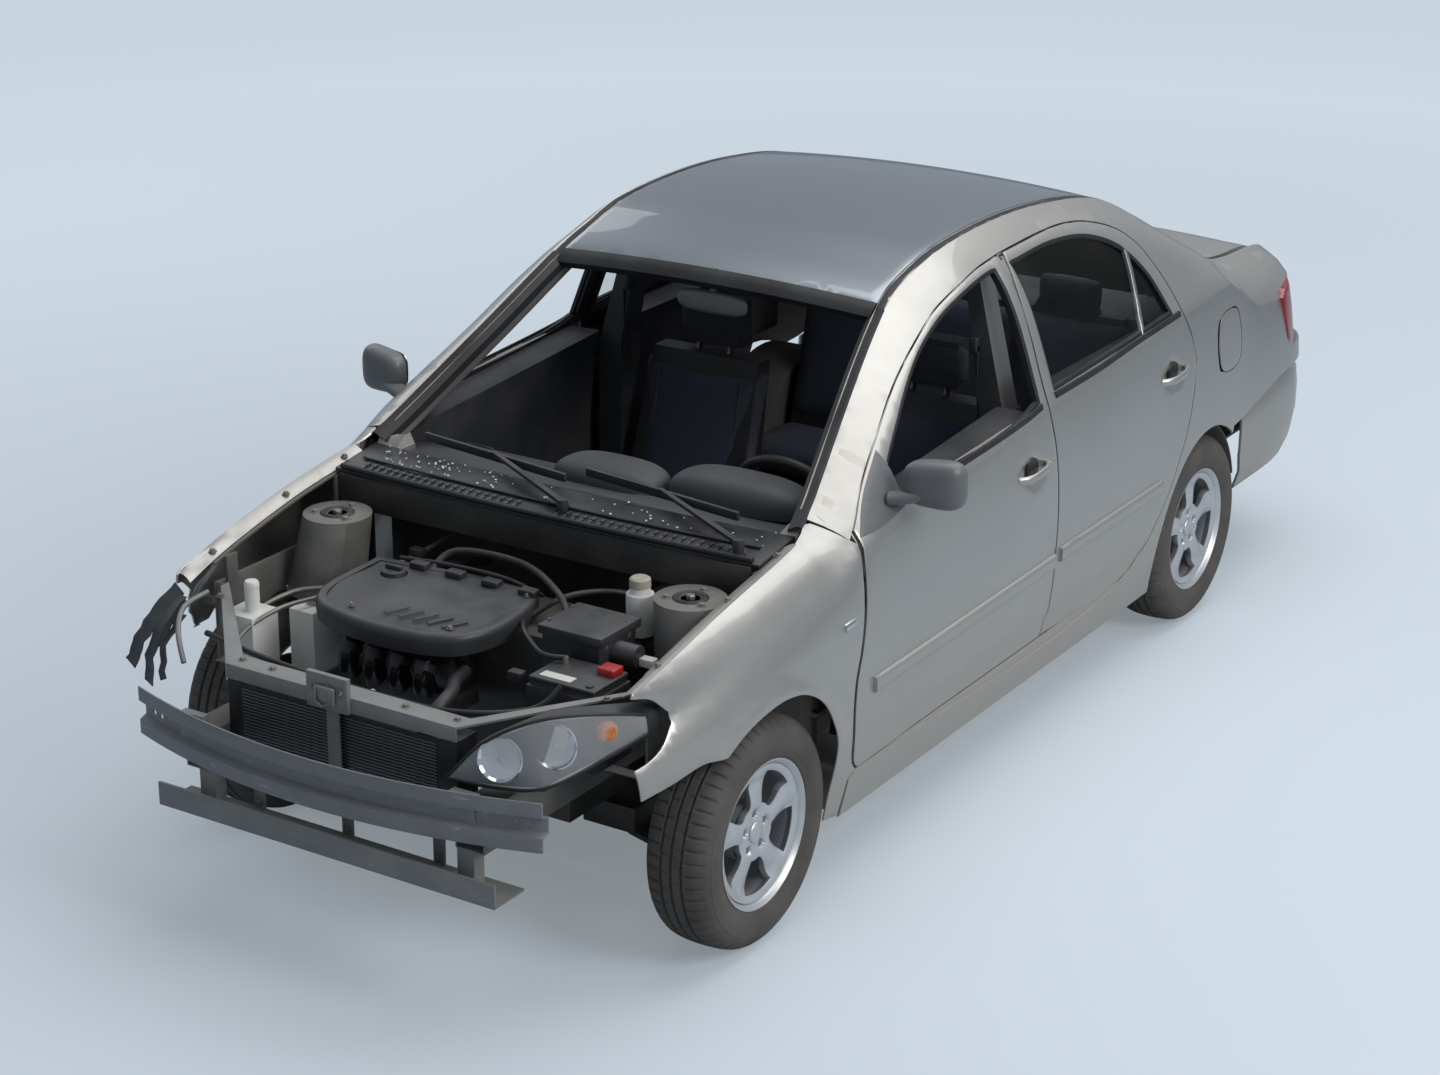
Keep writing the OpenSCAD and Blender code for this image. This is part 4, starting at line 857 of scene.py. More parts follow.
roof = pressing("roof_skin", roof_loop, lambda x, y: (x, y, roof_z(x, y)), [window_loop], 0.032, 0.006, 0.001,
                roof_paint_painted_reflection)
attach(roof, "root")
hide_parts("roof_panel")


# ---------------------------------------------------------------------------
# Fuel filler pocket: a black moulded cup behind the flap, with a screw cap.
# ---------------------------------------------------------------------------
pocket_black = plastic("filler_black", (0.012, 0.012, 0.013), rough=0.5, dusty=0.4, grain=0.3)
pocket_loop = inset(flap_hole_loop, -0.010)
pocket_wall = strip_between("filler_pocket_wall",
                            [[on_side(depth, 1)(y, z) for y, z in pocket_loop + pocket_loop[:1]]
                                                   for depth in (0.012, 0.030, 0.048)], pocket_black, 0.002)
pocket_floor = pressing("filler_pocket_floor", pocket_loop, on_side(0.048, 1), (), 0.02, 0.002, 0,
                        pocket_black)
pocket = join("filler_pocket", [pocket_wall, pocket_floor])
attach(pocket, "root")
disc("filler_cap", (side_x(1.345, 0.885) - 0.047, 1.345, 0.885), (1, 0, 0),
     [(0.0, 0.020), (0.022, 0.020), (0.029, 0.015), (0.030, 0.0)], pocket_black, 30)


# ---------------------------------------------------------------------------
# Roof mouldings and windscreen surround: extruded black rubber and moulded
# trim. The screen itself is gone, so the surround frames an open hole.
# ---------------------------------------------------------------------------
seal_rubber = plastic("seal_rubber", (0.010, 0.010, 0.011), rough=0.55, dusty=0.35, grain=0.2)
for side, sign in (("left", 1), ("right", -1)):
    path = [(sign * (rail_plan(y) - 0.016), y, rail_height(y) - 0.004) for y in np.linspace(-0.40, 1.62, 90)]
    moulding = swept(f"ditch_moulding_{side}", path, [(-0.0125, -0.004), (0.0125, -0.004), (0.011, 0.003),
                                                      (0.005, 0.0055), (-0.005, 0.0055), (-0.011, 0.003)],
                     seal_rubber)
    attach(moulding, "root")
screen_rows = []
for y in np.linspace(-1.062, -0.402, 40):
    x, z = rail_plan(y), rail_height(y)
    screen_rows.append([(x - 0.001, y, z - 0.003), (x - 0.006, y, z + 0.003), (x - 0.020, y, z + 0.002),
                        (x - 0.030, y - 0.001, z - 0.004), (x - 0.046, y + 0.003, z - 0.012),
                        (x - 0.048, y + 0.012, z - 0.030)])
header_rows = []
for x in np.linspace(0.512, -0.512, 40):
    bow = -0.020 * (1 - (x / 0.51) ** 2)
    z = roof_z(x, -0.388)
    header_rows.append([(x, -0.386 + bow, z - 0.0005), (x, -0.391 + bow, z + 0.002),
                        (x, -0.402 + bow, z - 0.004),
                        (x, -0.414 + bow, z - 0.014), (x, -0.424 + bow, z - 0.030),
                        (x, -0.410 + bow, z - 0.048),
                        (x, -0.392 + bow, z - 0.050)])
header = strip_between("screen_header", header_rows, seal_rubber, 0.002)
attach(header, "root")
for side, sign in (("left", 1), ("right", -1)):
    rows = [[(sign * x, y, z) for x, y, z in row] for row in screen_rows]
    surround = strip_between(f"screen_side_{side}", rows, seal_rubber, 0.002)
    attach(surround, "root")
    rows = []
    for y in np.linspace(-1.050, -0.400, 30):
        x, z = rail_plan(y), rail_height(y)
        rows.append([(sign * (x - 0.047), y + 0.010, z - 0.028), (sign * (x - 0.050), y + 0.030, z - 0.040),
                     (sign * (x - 0.035), y + 0.060, z - 0.048), (sign * (x - 0.004), y + 0.070, z - 0.040)])
    # Painted light and shade: the mirrored pillar liners differ only by side, body silver on the right, whose
    # face turns towards the camera and lamps, and black trim on the left, which is turned away.
    liner = strip_between(f"pillar_liner_{side}", rows, silver if sign < 0 else fine_black, 0.002)
    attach(liner, "root")


# ---------------------------------------------------------------------------
# Window seals, belt mouldings and glass. The front windows are wound down, and
# the rear doors keep their tinted drop glass and fixed quarter glass.
# ---------------------------------------------------------------------------
tint = Finish("tinted_glass", Roughness=0.03, Alpha=0.12, IOR=1.45)
tint.set(Base_Color=tint.blend(tint.noise(5.0).ramp(0.4, 0.8), (0.010, 0.012, 0.012), (0.035, 0.035, 0.032)))
bar_paint = paint_finish("window_frame_paint", (0.30, 0.305, 0.30), 0.6)
for side, sign in (("left", 1), ("right", -1)):
    for end, pane in (("front", front_pane), ("rear", rear_pane)):
        loop = rounded(pane, 0.014, 0.8)
        path = [(sign * (side_x(y, z) - 0.004), y, z) for y, z in inset(loop, 0.003)]
        seal = swept(f"window_seal_{end}_{side}", path,
                     [(-0.007, -0.012), (0.007, -0.012), (0.007, 0.0), (0.003, 0.002), (-0.003, 0.002),
                      (-0.007, 0.0)],
                     seal_rubber, (sign, 0, 0), closed=True)
        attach(seal, f"{end}_door_{side}")
        frame_path = [(sign * (side_x(y, z) - 0.018), y, z) for y, z in inset(loop, -0.010)]
        channel = swept(f"window_channel_{end}_{side}", frame_path, box_section(0.030, 0.014, 0.003, -0.010),
                        fine_black, (sign, 0, 0), closed=True)
        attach(channel, f"{end}_door_{side}")
    for end, line in (("front", [(-0.742, 0.966), (-0.45, 0.978), (-0.046, 1.000), (0.042, 1.010)]),
                      ("rear", [(0.128, 1.020), (0.40, 1.028), (0.70, 1.046), (0.962, 1.056)])):
        points = rounded(line, 0.02, 1.5, closed=False)
        path = [(sign * (side_x(y, z) + 0.001), y, z) for y, z in points]
        moulding = swept(f"belt_moulding_{end}_{side}", path, box_section(0.020, 0.006, 0.002, -0.003),
                         seal_rubber, (sign, 0, 0.15))
        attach(moulding, f"{end}_door_{side}")
    divider = [(0.712, 1.050), (0.752, 1.170), (0.790, 1.285)]
    path = [(sign * (side_x(y, z) - 0.003), y, z) for y, z in rounded(divider, 0.02, 1.5, closed=False)]
    post = swept(f"quarter_post_{side}", path, box_section(0.022, 0.012, 0.003, -0.010), bar_paint,
                 (sign, 0, 0))
    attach(post, f"rear_door_{side}")
    glass_loop = inset(rounded(rear_pane, 0.02, 0.8), 0.001)
    pane_glass = pressing(f"rear_door_glass_{side}", glass_loop, on_side(0.012, sign), (), 0.06, 0.0035, 0,
                          tint.material)
    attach(pane_glass, f"rear_door_{side}")
rear_screen = pressing("rear_screen", inset(window_loop, 0.001), lambda x, y: (x, y, roof_z(x, y) - 0.001),
                       (), 0.05,
                       0.004, 0, tint.material)
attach(rear_screen, "root")
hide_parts("rear_window")
path = [(x, y, roof_z(x, y)) for x, y in window_loop]
screen_seal = swept("rear_screen_seal", path, box_section(0.016, 0.004, 0.001, -0.002), seal_rubber,
                    closed=True)
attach(screen_seal, "root")


# ---------------------------------------------------------------------------
# Door furniture: rub strips and pull handles in body colour, side repeaters,
# and grey grained mirrors on sail plates of the same grey.
# ---------------------------------------------------------------------------
mirror_grey = plastic("mirror_grey", (0.125, 0.13, 0.135), (0.26, 0.26, 0.25), rough=0.34, dusty=0.5,
                      grain=0.15)
mirror_glass = Finish("mirror_glass", Metallic=1.0, Roughness=0.06)
mirror_glass.set(Base_Color=mirror_glass.blend(mirror_glass.noise(8.0).ramp(0.4, 0.8), (0.75, 0.77, 0.78),
                                               (0.5, 0.5, 0.48)))
for side, sign in (("left", 1), ("right", -1)):
    for end, y0, z0, y1, z1, (hy, hz) in (("front", -0.960, 0.541, 0.070, 0.550, (-0.053, 0.846)),
                                          ("rear", 0.104, 0.559, 0.800, 0.559, (0.885, 0.883))):
        body = f"{end}_door_{side}"
        path = []
        for t in np.linspace(0, 1, 30):
            y, z = y0 + (y1 - y0) * t, z0 + (z1 - z0) * t
            path.append((sign * side_x(y, z), y, z))
        strip = swept(f"rub_strip_{end}_{side}", path, [(-0.022, -0.001), (0.022, -0.001), (0.021, 0.006),
                                                        (0.015, 0.0105), (-0.015, 0.0105), (-0.021, 0.006)],
                      silver, (sign, 0, 0))
        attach(strip, body)
        path = []
        for t in np.linspace(-1, 1, 25):
            y = hy + 0.082 * t
            z = hz + 0.004 + 0.006 * t
            lift = 0.028 * (1 - abs(t) ** 3.5)
            path.append((sign * (side_x(y, z) - 0.004 + lift), y, z))
        pull = swept(f"door_handle_{end}_{side}", path, round_section(0.0125, 14, 0.55), silver, (sign, 0, 0))
        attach(pull, body)
        disc(f"handle_cup_{end}_{side}", (sign * side_x(hy, hz + 0.016), hy - 0.004, hz + 0.012),
             (sign, 0, 0),
                   [(0.0, 0.0012), (0.030, 0.0016), (0.034, 0.0010), (0.034, -0.004)], fine_black, 32, body)
        tip = swept(f"handle_lock_{end}_{side}",
                    [(sign * (side_x(hy + 0.09, hz) - 0.003), hy + 0.086, hz + 0.004),
                                                  (sign * (side_x(hy + 0.09, hz) + 0.010), hy + 0.086,
                                                   hz + 0.004)],
                    round_section(0.011, 14), silver, (0, 0, 1))
        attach(tip, body)
    path = [(sign * (side_x(y, 0.739) + 0.001), y, 0.739 + 0.10 * (y + 1.068)) for y in np.linspace(-1.092,
            -1.046, 9)]
    sections = swept(f"side_repeater_{side}", path, round_section(0.0115, 12, 0.5), mirror_glass.material,
                     (sign, 0, 0))
    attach(sections, "root")
    rows = []
    for a in np.linspace(-math.pi / 2, math.pi / 2, 17):
        row = []
        for b in np.linspace(0, 2 * math.pi, 37)[:-1]:
            ca, sa = math.cos(a), math.sin(a)
            cx = math.copysign(abs(math.cos(b)) ** 0.55, math.cos(b)) * ca ** 0.55
            cz = math.copysign(abs(math.sin(b)) ** 0.55, math.sin(b)) * ca ** 0.55
            cy = math.copysign(abs(sa) ** 0.75, sa)
            x = 0.893 + 0.081 * cx
            z = 1.031 + (0.064 + 0.006 * cx) * cz
            y = -0.738 + (0.024 if cy > 0 else 0.046) * cy + 0.016 * cx
            row.append((sign * x, y, z))
        rows.append(row + [row[0]])
    housing = strip_between(f"mirror_housing_{side}", rows, mirror_grey)
    closed_up(housing, 0.0001)
    soften(housing, 50)
    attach(housing, f"front_door_{side}")
    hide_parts(f"door_mirror_{side}")
    face = [(0.893 + 0.070 * math.copysign(abs(math.cos(b)) ** 0.5, math.cos(b)),
             1.031 + 0.052 * math.copysign(abs(math.sin(b)) ** 0.5, math.sin(b))) for b in np.linspace(0,
                     2 * math.pi, 40, endpoint=False)]
    glass = pressing(f"mirror_glass_{side}", face, lambda x, z: (sign * x, -0.7125 + 0.2 * (x - 0.893), z),
                     (), 0.03, 0.002, 0,
                     mirror_glass.material)
    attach(glass, f"front_door_{side}")
    foot = swept(f"mirror_foot_{side}",
                 [(sign * (side_x(-0.78, 0.975) - 0.004), -0.790, 0.985), (sign * 0.835, -0.775, 0.995),
                                         (sign * 0.870, -0.755, 1.005)], round_section(0.030, 16, 0.6),
                                         mirror_grey, (0, 0, 1))
    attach(foot, f"front_door_{side}")
    sail = pressing(f"mirror_sail_{side}",
                    rounded([(-0.955, 0.930), (-0.900, 0.988), (-0.742, 1.090), (-0.733, 1.046),
                                                    (-0.737, 0.955), (-0.80, 0.945)], 0.012, 0.7),
                    on_side(-0.002, sign), (), 0.02, 0.004, 0.001, mirror_grey)
    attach(sail, f"front_door_{side}")


# ---------------------------------------------------------------------------
# Inner body: painted pillars, sills and door shells behind the outer skins,
# closed box sections, with dark moulded trims on the cabin side of the doors.
# ---------------------------------------------------------------------------
door_trim = Finish("door_trim")
stipple = door_trim.noise(900.0)
door_trim.set(Base_Color=door_trim.blend(door_trim.noise(6.0).ramp(0.35, 0.75), (0.030, 0.032, 0.038),
                                         (0.060, 0.060, 0.062)),
              Roughness=0.55 + stipple * 0.15)
door_trim.bump(stipple, 0.0003, 0.5)


def under_skin(obj, sign, sunk):
    """The shell's outer face moved in, so that the skin covers it."""
    for vertex in obj.data.vertices:
        x, y, z = vertex.co
        if x * sign > side_x(y, z) - 0.005:
            vertex.co.x -= sign * sunk
    obj.data.update()


for side, sign in (("left", 1), ("right", -1)):
    shell = refined(f"body_side_{side}", f"inner_side_{side}", inner_paint, 0.0)
    under_skin(shell, sign, 0.007)
    shell.data.materials.append(door_trim.material)
    for polygon in shell.data.polygons:
        where = polygon.center
        beside_cabin = where.z > 0.35 and -0.95 < where.y < 1.25
        behind_skin = abs(where.x) < side_x(where.y, where.z) - 0.022
        if polygon.normal.x * sign < 0.4 and beside_cabin and behind_skin:
            polygon.material_index = 1
    for end in ("front", "rear"):
        shell = refined(f"door_{end}_{side}", f"door_shell_{end}_{side}", inner_paint, 0.0,
                        f"{end}_door_{side}")
        under_skin(shell, sign, 0.007)
        shell.data.materials.append(door_trim.material)
        shell.data.materials.append(seal_rubber)
        for polygon in shell.data.polygons:
            facing, where = polygon.normal.x * sign, polygon.center
            if facing < 0.3 and where.z < 1.02 and abs(where.x) < side_x(where.y, where.z) - 0.030:
                polygon.material_index = 1
            elif where.z > 1.0 and facing < 0.6:
                polygon.material_index = 2
headlining = Finish("headlining")
felt = headlining.noise(700.0)
headlining.set(Base_Color=headlining.blend(headlining.noise(5.0).ramp(0.35, 0.75), (0.42, 0.41, 0.38),
                                           (0.52, 0.51, 0.48)),
               Roughness=0.85 + felt * 0.1)
headlining.bump(felt, 0.0004, 0.5)
lining_loop = inset(roof_loop, 0.030)
lining = pressing("roof_lining", lining_loop, lambda x, y: (x, y, roof_z(x, y) - 0.009), [window_loop], 0.05,
                  0.004, 0.0,
                  headlining.material)
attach(lining, "root")
for side, s in (("left", 1), ("right", -1)):
    block(f"sun_visor_{side}", (s * 0.30 - 0.20, -0.37, 1.345), (s * 0.30 + 0.20, -0.23, 1.362),
          headlining.material, 0.006)


# ---------------------------------------------------------------------------
# Tail: pressed boot lid over its own inner frame, moulded bumper skin in body
# colour, one-piece red tail lamps moulded with fine optics.
# ---------------------------------------------------------------------------
lid = refined("boot_lid", "boot_lid_skin", silver, 0.006, "boot", 30)
bumper_skin = refined("rear_bumper", "rear_bumper_skin", silver, 0.003)
red_lens = Finish("red_lens", Coat_Weight=1.0, Coat_Roughness=0.03)
optics = red_lens.cells(120.0)
red_lens.set(Base_Color=red_lens.blend(optics.ramp(0.1, 0.6), (0.42, 0.008, 0.008), (0.22, 0.003, 0.004)),
             Roughness=0.08 + 0.1 * optics)
red_lens.bump(optics, 0.0005, 0.4)
lamps = refined("tail_lamps", "tail_lamp_lenses", red_lens.material, 0.004)


# ---------------------------------------------------------------------------
# Tyres: moulded rubber with three grooves round the tread and cuts across its
# shoulders. Dust has turned the sidewalls brownish grey.
# ---------------------------------------------------------------------------
half_track = 0.736
tyre_profile = [
    (0.187, -0.0705), (0.192, -0.0760), (0.200, -0.0820), (0.206, -0.0850), (0.210, -0.0852),
    (0.213, -0.0868), (0.228, -0.0905), (0.245, -0.0922), (0.262, -0.0910), (0.264, -0.0892),
    (0.268, -0.0888), (0.276, -0.0850), (0.284, -0.0792), (0.291, -0.0715), (0.2958, -0.0630),
    (0.2985, -0.0520), (0.3002, -0.0400), (0.3008, -0.0345), (0.2935, -0.0325), (0.2935, -0.0265),
    (0.3012, -0.0245), (0.3018, -0.0120), (0.3020, -0.0050), (0.2945, -0.0035)]
tyre_profile = tyre_profile + [(r, -w) for r, w in tyre_profile[::-1]]


def turned(name, profile, wheel_y, side, segments, cut=None, closed=False):
    """A shape turned about a wheel's axle: profile is (radius, outward place) pairs."""
    angles = np.linspace(0, 2 * math.pi, segments, endpoint=False)
    points, faces = [], []
    n = len(profile)
    for i, a in enumerate(angles):
        for j, (r, w) in enumerate(profile):
            if cut:
                r -= cut(i, j, r, w)
            points.append((side * (half_track + w), wheel_y + r * math.cos(a), tyre_radius + r * math.sin(a)))
    for i in range(segments):
        k = (i + 1) % segments
        for j in range(n if closed else n - 1):
            m = (j + 1) % n
            face = (i * n + j, i * n + m, k * n + m, k * n + j)
            faces.append(face if side > 0 else face[::-1])
    return object_from(name, points, faces)


def tread_cut(i, j, r, w):
    """Depth of the cuts across the tread at this point of it."""
    across = abs(w)
    if r < 0.283 or r > 0.3025:
        return 0
    if across > 0.038:
        return 0.0052 if i % 6 == 0 else 0
    if 0.008 < across < 0.030:
        return 0.0035 if (i + (3 if w > 0 else 0)) % 8 == 0 else 0
    return 0


rubber = Finish("dusty_rubber", Metallic=0.0)
x, y, z = rubber.axes()
film = rubber.noise(9.0, 5.0, 0.65)
grit = rubber.noise(160.0, 3.0, 0.6)
dusty = (film.ramp(0.25, 0.75) * 0.55 + 0.35 + grit * 0.2).clip()
rubber.bump(grit, 0.0005, 0.4)
rubber.set(Base_Color=rubber.blend(dusty, (0.030, 0.028, 0.027), (0.115, 0.103, 0.092)),
           Roughness=(0.62 + dusty * 0.3).clip())
wheels = [("front", "left", 1, axle_front), ("front", "right", -1, axle_front),
          ("rear", "left", 1, axle_rear), ("rear", "right", -1, axle_rear)]
for end, name, side, wheel_y in wheels:
    tyre = turned(f"tyre_{end}_{name}_tread", tyre_profile, wheel_y, side, 336, tread_cut)
    tyre.data.materials.append(rubber.material)
    soften(tyre, 32)
    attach(tyre, f"{end}_wheel_{name}")
    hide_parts(f"tyre_{end}_{name}")


# ---------------------------------------------------------------------------
# Alloy wheels: cast in one piece with five broad spokes, lacquered silver,
# held by five bolts sunk in recesses, with a plain cap over the hub.
# ---------------------------------------------------------------------------
alloy = Finish("wheel_lacquer", Metallic=0.75, Coat_Weight=0.4, Coat_Roughness=0.15)
x, y, z = alloy.axes()
brake_dust = alloy.noise(14.0, 4.0, 0.6)
speck = alloy.noise(220.0, 2.0, 0.5)
alloy.bump(speck, 0.0002, 0.2)
alloy.set(Base_Color=alloy.blend(brake_dust.ramp(0.45, 0.8) * 0.4, (0.66, 0.67, 0.68), (0.40, 0.37, 0.33)),
          Roughness=(0.30 + brake_dust * 0.22).clip())
bright_dark = Finish("bolt_steel", Metallic=0.8, Roughness=0.45)
bright_dark.set(Base_Color=bright_dark.blend(bright_dark.noise(60.0), (0.22, 0.21, 0.20), (0.34, 0.32, 0.30)))
rim_profile = [
    (0.1865, -0.0700), (0.1945, -0.0775), (0.1945, -0.0815), (0.1860, -0.0800), (0.1790, -0.0600),
    (0.1760, 0.0000), (0.1700, 0.0200), (0.1740, 0.0500), (0.1800, 0.0660), (0.1845, 0.0735),
    (0.1880, 0.0765), (0.1925, 0.0815), (0.1948, 0.0818), (0.1950, 0.0785), (0.1900, 0.0735),
    (0.1866, 0.0700), (0.1866, 0.0600), (0.1730, 0.0200), (0.1820, -0.0400)]
spoke_face, face_radius = 0.058, 0.178


def wheel_window(k):
    """The opening between two spokes, as a flat loop."""
    middle = math.radians(90 + 72 * k + 36)
    half_outer, half_inner = math.radians(22.0), math.radians(13.5)
    loop = [(0.160 * math.cos(middle + a), 0.160 * math.sin(middle + a))
            for a in np.linspace(-half_outer, half_outer, 9)]
    loop += [(0.076 * math.cos(middle + a), 0.076 * math.sin(middle + a))
             for a in np.linspace(half_inner, -half_inner, 4)]
    return rounded(loop, 0.006, 1.3)


def dish(u, v):
    """How far out the spoke face stands at this place on it."""
    r, a = math.hypot(u, v), math.atan2(v, u)
    off = (math.degrees(a) - 90 + 36) % 72 - 36
    crown = 0.006 * (1 - min(1, abs(math.radians(off)) * r / 0.030) ** 2)
    out = spoke_face - 0.004 + crown * smooth((r - 0.055) / 0.02) * smooth((0.172 - r) / 0.02)
    out += 0.016 * smooth((r - 0.135) / 0.045)
    for k in range(5):
        b = math.radians(90 + 72 * k)
        d = math.hypot(u - 0.050 * math.cos(b), v - 0.050 * math.sin(b))
        out -= 0.014 * smooth((0.0135 - d) / 0.004)
    return out


rim_flat, rim_faces = flat_mesh([(face_radius * math.cos(a), face_radius * math.sin(a))
                                 for a in np.linspace(0, 2 * math.pi, 150, endpoint=False)],
                                [wheel_window(k) for k in range(5)], 0.0055)
for end, name, side, wheel_y in wheels:
    face = object_from("face", [(side * (half_track + dish(*p)), wheel_y + side * p[0], tyre_radius + p[1])
                                for p in rim_flat], rim_faces)
    bm = bmesh.new()
    bm.from_mesh(face.data)
    bmesh.ops.recalc_face_normals(bm, faces=bm.faces)
    if sum(f.normal.x * f.calc_area() for f in bm.faces) * side < 0:
        bmesh.ops.reverse_faces(bm, faces=bm.faces)
    bm.to_mesh(face.data)
    bm.free()
    solid = face.modifiers.new("cast", "SOLIDIFY")
    solid.thickness, solid.offset = 0.020, -1
    edge = face.modifiers.new("edge", "BEVEL")
    edge.width, edge.segments, edge.limit_method, edge.angle_limit = 0.0022, 2, "ANGLE", math.radians(55)
    settle(face)
    barrel = turned("barrel", rim_profile, wheel_y, side, 128, closed=True)
    hub = turned("hub", [(0.0, 0.0595), (0.016, 0.0600), (0.0255, 0.0590), (0.0275, 0.0575),
                         (0.0290, 0.0550)],
                 wheel_y, side, 48)
    inner = turned("inner", [(0.078, 0.034), (0.078, 0.000), (0.040, -0.004), (0.016, -0.004)], wheel_y,
                   side, 48)
    wheel = join(f"rim_{end}_{name}_cast", [barrel, face, hub, inner])
    wheel.data.materials.append(alloy.material)
    soften(wheel, 38)
    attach(wheel, f"{end}_wheel_{name}")
    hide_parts(f"rim_{end}_{name}")
    bm = bmesh.new()
    for k in range(5):
        a = math.radians(90 + 72 * k)
        spin = Matrix.Rotation(math.radians(90 * side), 4, "Y")
        at = Matrix.Translation((side * (half_track + 0.0445), wheel_y + 0.050 * math.cos(a),
                                 tyre_radius + 0.050 * math.sin(a)))
        bmesh.ops.create_cone(bm, cap_ends=True, segments=6, radius1=0.0098, radius2=0.0090, depth=0.011,
                              matrix=at @ spin)
    mesh = bpy.data.meshes.new("bolts")
    bm.to_mesh(mesh)
    bm.free()
    bolts = bpy.data.objects.new(f"wheel_bolts_{end}_{name}", mesh)
    scene.collection.objects.link(bolts)
    mesh.materials.append(bright_dark.material)
    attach(bolts, f"{end}_wheel_{name}")


# ---------------------------------------------------------------------------
# Crash structure: rolled W-section beam with stacked bolt holes, folded lower
# crossmember, tie bar and its stay, all bare or primed steel, bolted on.
# ---------------------------------------------------------------------------
refined("upper_tie_bar", "tie_bar_pressing", bar_steel, 0.0015)
refined("lower_crossmember", "lower_member_pressing", bar_steel, 0.0015)
refined("crash_beam", "crash_beam_section", beam_steel, 0.002)
bolt_steel = worn_steel("bolt_steel", (0.24, 0.23, 0.21), (0.5, 0.49, 0.47), (0.26, 0.24, 0.21), 0.5, 0.6)


def bolt(name, place, axis, radius=0.0075, body="root"):
    """A flanged hexagon bolt head."""
    head = disc(name, place, axis,
                [(0.0, 0.0075), (radius * 0.85, 0.0075), (radius, 0.0065), (radius, 0.0018)],
                bolt_steel, 6, None)
    flange = disc(name + "_flange", place, axis,
                  [(0.0, 0.0022), (radius * 1.45, 0.0018), (radius * 1.5, 0.0), (0.0, -0.001)],
                  bolt_steel, 24, None)
    whole = join(name, [head, flange])
    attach(whole, body)
    return whole


number = 0
for x, y, z, axis in (
        (-0.283, -2.048, 0.350, (0, -1, 0)), (-0.003, -2.048, 0.350, (0, -1, 0)),
        (0.277, -2.048, 0.350, (0, -1, 0)),
        (-0.283, -2.048, 0.430, (0, -1, 0)), (-0.003, -2.048, 0.430, (0, -1, 0)),
        (0.277, -2.048, 0.430, (0, -1, 0)),
        (-0.23, -2.030, 0.713, (0, 0, 1)), (0.18, -2.030, 0.713, (0, 0, 1)), (0.33, -2.025, 0.713, (0, 0, 1)),
        (-0.33, -2.025, 0.713, (0, 0, 1)), (-0.60, -1.80, 0.748, (0, 0, 1)), (0.60, -1.80, 0.748, (0, 0, 1)),
        (-0.68, -1.72, 0.905, (0, 0, 1)), (-0.70, -1.42, 0.930, (0, 0, 1)), (-0.71, -1.18, 0.943, (0, 0, 1)),
        (0.68, -1.72, 0.905, (0, 0, 1)), (0.70, -1.42, 0.930, (0, 0, 1)), (0.71, -1.18, 0.943, (0, 0, 1))):
    if abs(x) > 0.65:
        x = math.copysign(rail_plan(y) - 0.018, x)
        z = rail_height(y) - 0.006
    number += 1
    bolt(f"body_bolt_{number}", (x, y, z), axis)
for side, s in (("left", 1), ("right", -1)):
    for k in range(3):
        a = math.radians(90 + 120 * k)
        number += 1
        bolt(f"strut_nut_{side}_{k}", (s * 0.558 + 0.060 * math.cos(a), -1.374 + 0.060 * math.sin(a), 0.855),
             (0, 0, 1), 0.009)
    disc(f"strut_bearing_{side}", (s * 0.558, -1.374, 0.852), (0, 0, 1),
                [(0.026, 0.0), (0.030, 0.006), (0.040, 0.008), (0.046, 0.004), (0.048, 0.0)], black_plastic,
                40)
    disc(f"strut_centre_nut_{side}", (s * 0.558, -1.374, 0.850), (0, 0, 1),
               [(0.0, 0.014), (0.010, 0.014), (0.0125, 0.011), (0.0125, 0.0)], bolt_steel, 6)


# ---------------------------------------------------------------------------
# Radiator and fan shroud: pressed fins on flat tubes between moulded tanks,
# with a filler cap and the top hose. The fins repeat up the whole core.
# ---------------------------------------------------------------------------
def repeated(name, source, count, step, material, body="root"):
    """Copies of a small mesh along a line, made with Geometry Nodes."""
    tree = bpy.data.node_groups.new(name + "_row", "GeometryNodeTree")
    tree.interface.new_socket("Geometry", in_out="INPUT", socket_type="NodeSocketGeometry")
    count_socket = tree.interface.new_socket("Count", in_out="INPUT", socket_type="NodeSocketInt")
    step_socket = tree.interface.new_socket("Step", in_out="INPUT", socket_type="NodeSocketVector")
    tree.interface.new_socket("Geometry", in_out="OUTPUT", socket_type="NodeSocketGeometry")
    start, end = tree.nodes.new("NodeGroupInput"), tree.nodes.new("NodeGroupOutput")
    line = tree.nodes.new("GeometryNodeMeshLine")
    line.mode = "OFFSET"
    put = tree.nodes.new("GeometryNodeInstanceOnPoints")
    real, paint = tree.nodes.new("GeometryNodeRealizeInstances"), tree.nodes.new("GeometryNodeSetMaterial")
    paint.inputs["Material"].default_value = material
    tree.links.new(start.outputs["Count"], line.inputs["Count"])
    tree.links.new(start.outputs["Step"], line.inputs["Offset"])
    tree.links.new(line.outputs[0], put.inputs["Points"])
    tree.links.new(start.outputs["Geometry"], put.inputs["Instance"])
    tree.links.new(put.outputs[0], real.inputs[0])
    tree.links.new(real.outputs[0], paint.inputs[0])
    tree.links.new(paint.outputs[0], end.inputs[0])
    row = source.modifiers.new("row", "NODES")
    row.node_group = tree
    row[count_socket.identifier] = count
    row[step_socket.identifier] = step
    source.update_tag()
    graph = bpy.context.evaluated_depsgraph_get()
    graph.update()
    mesh = bpy.data.meshes.new_from_object(source.evaluated_get(graph))
    source.modifiers.remove(row)
    obj = bpy.data.objects.new(name, mesh)
    scene.collection.objects.link(obj)
    bpy.data.objects.remove(source)
    if material.name not in [m.name for m in mesh.materials if m]:
        mesh.materials.clear()
        mesh.materials.append(material)
    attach(obj, body)
    return obj


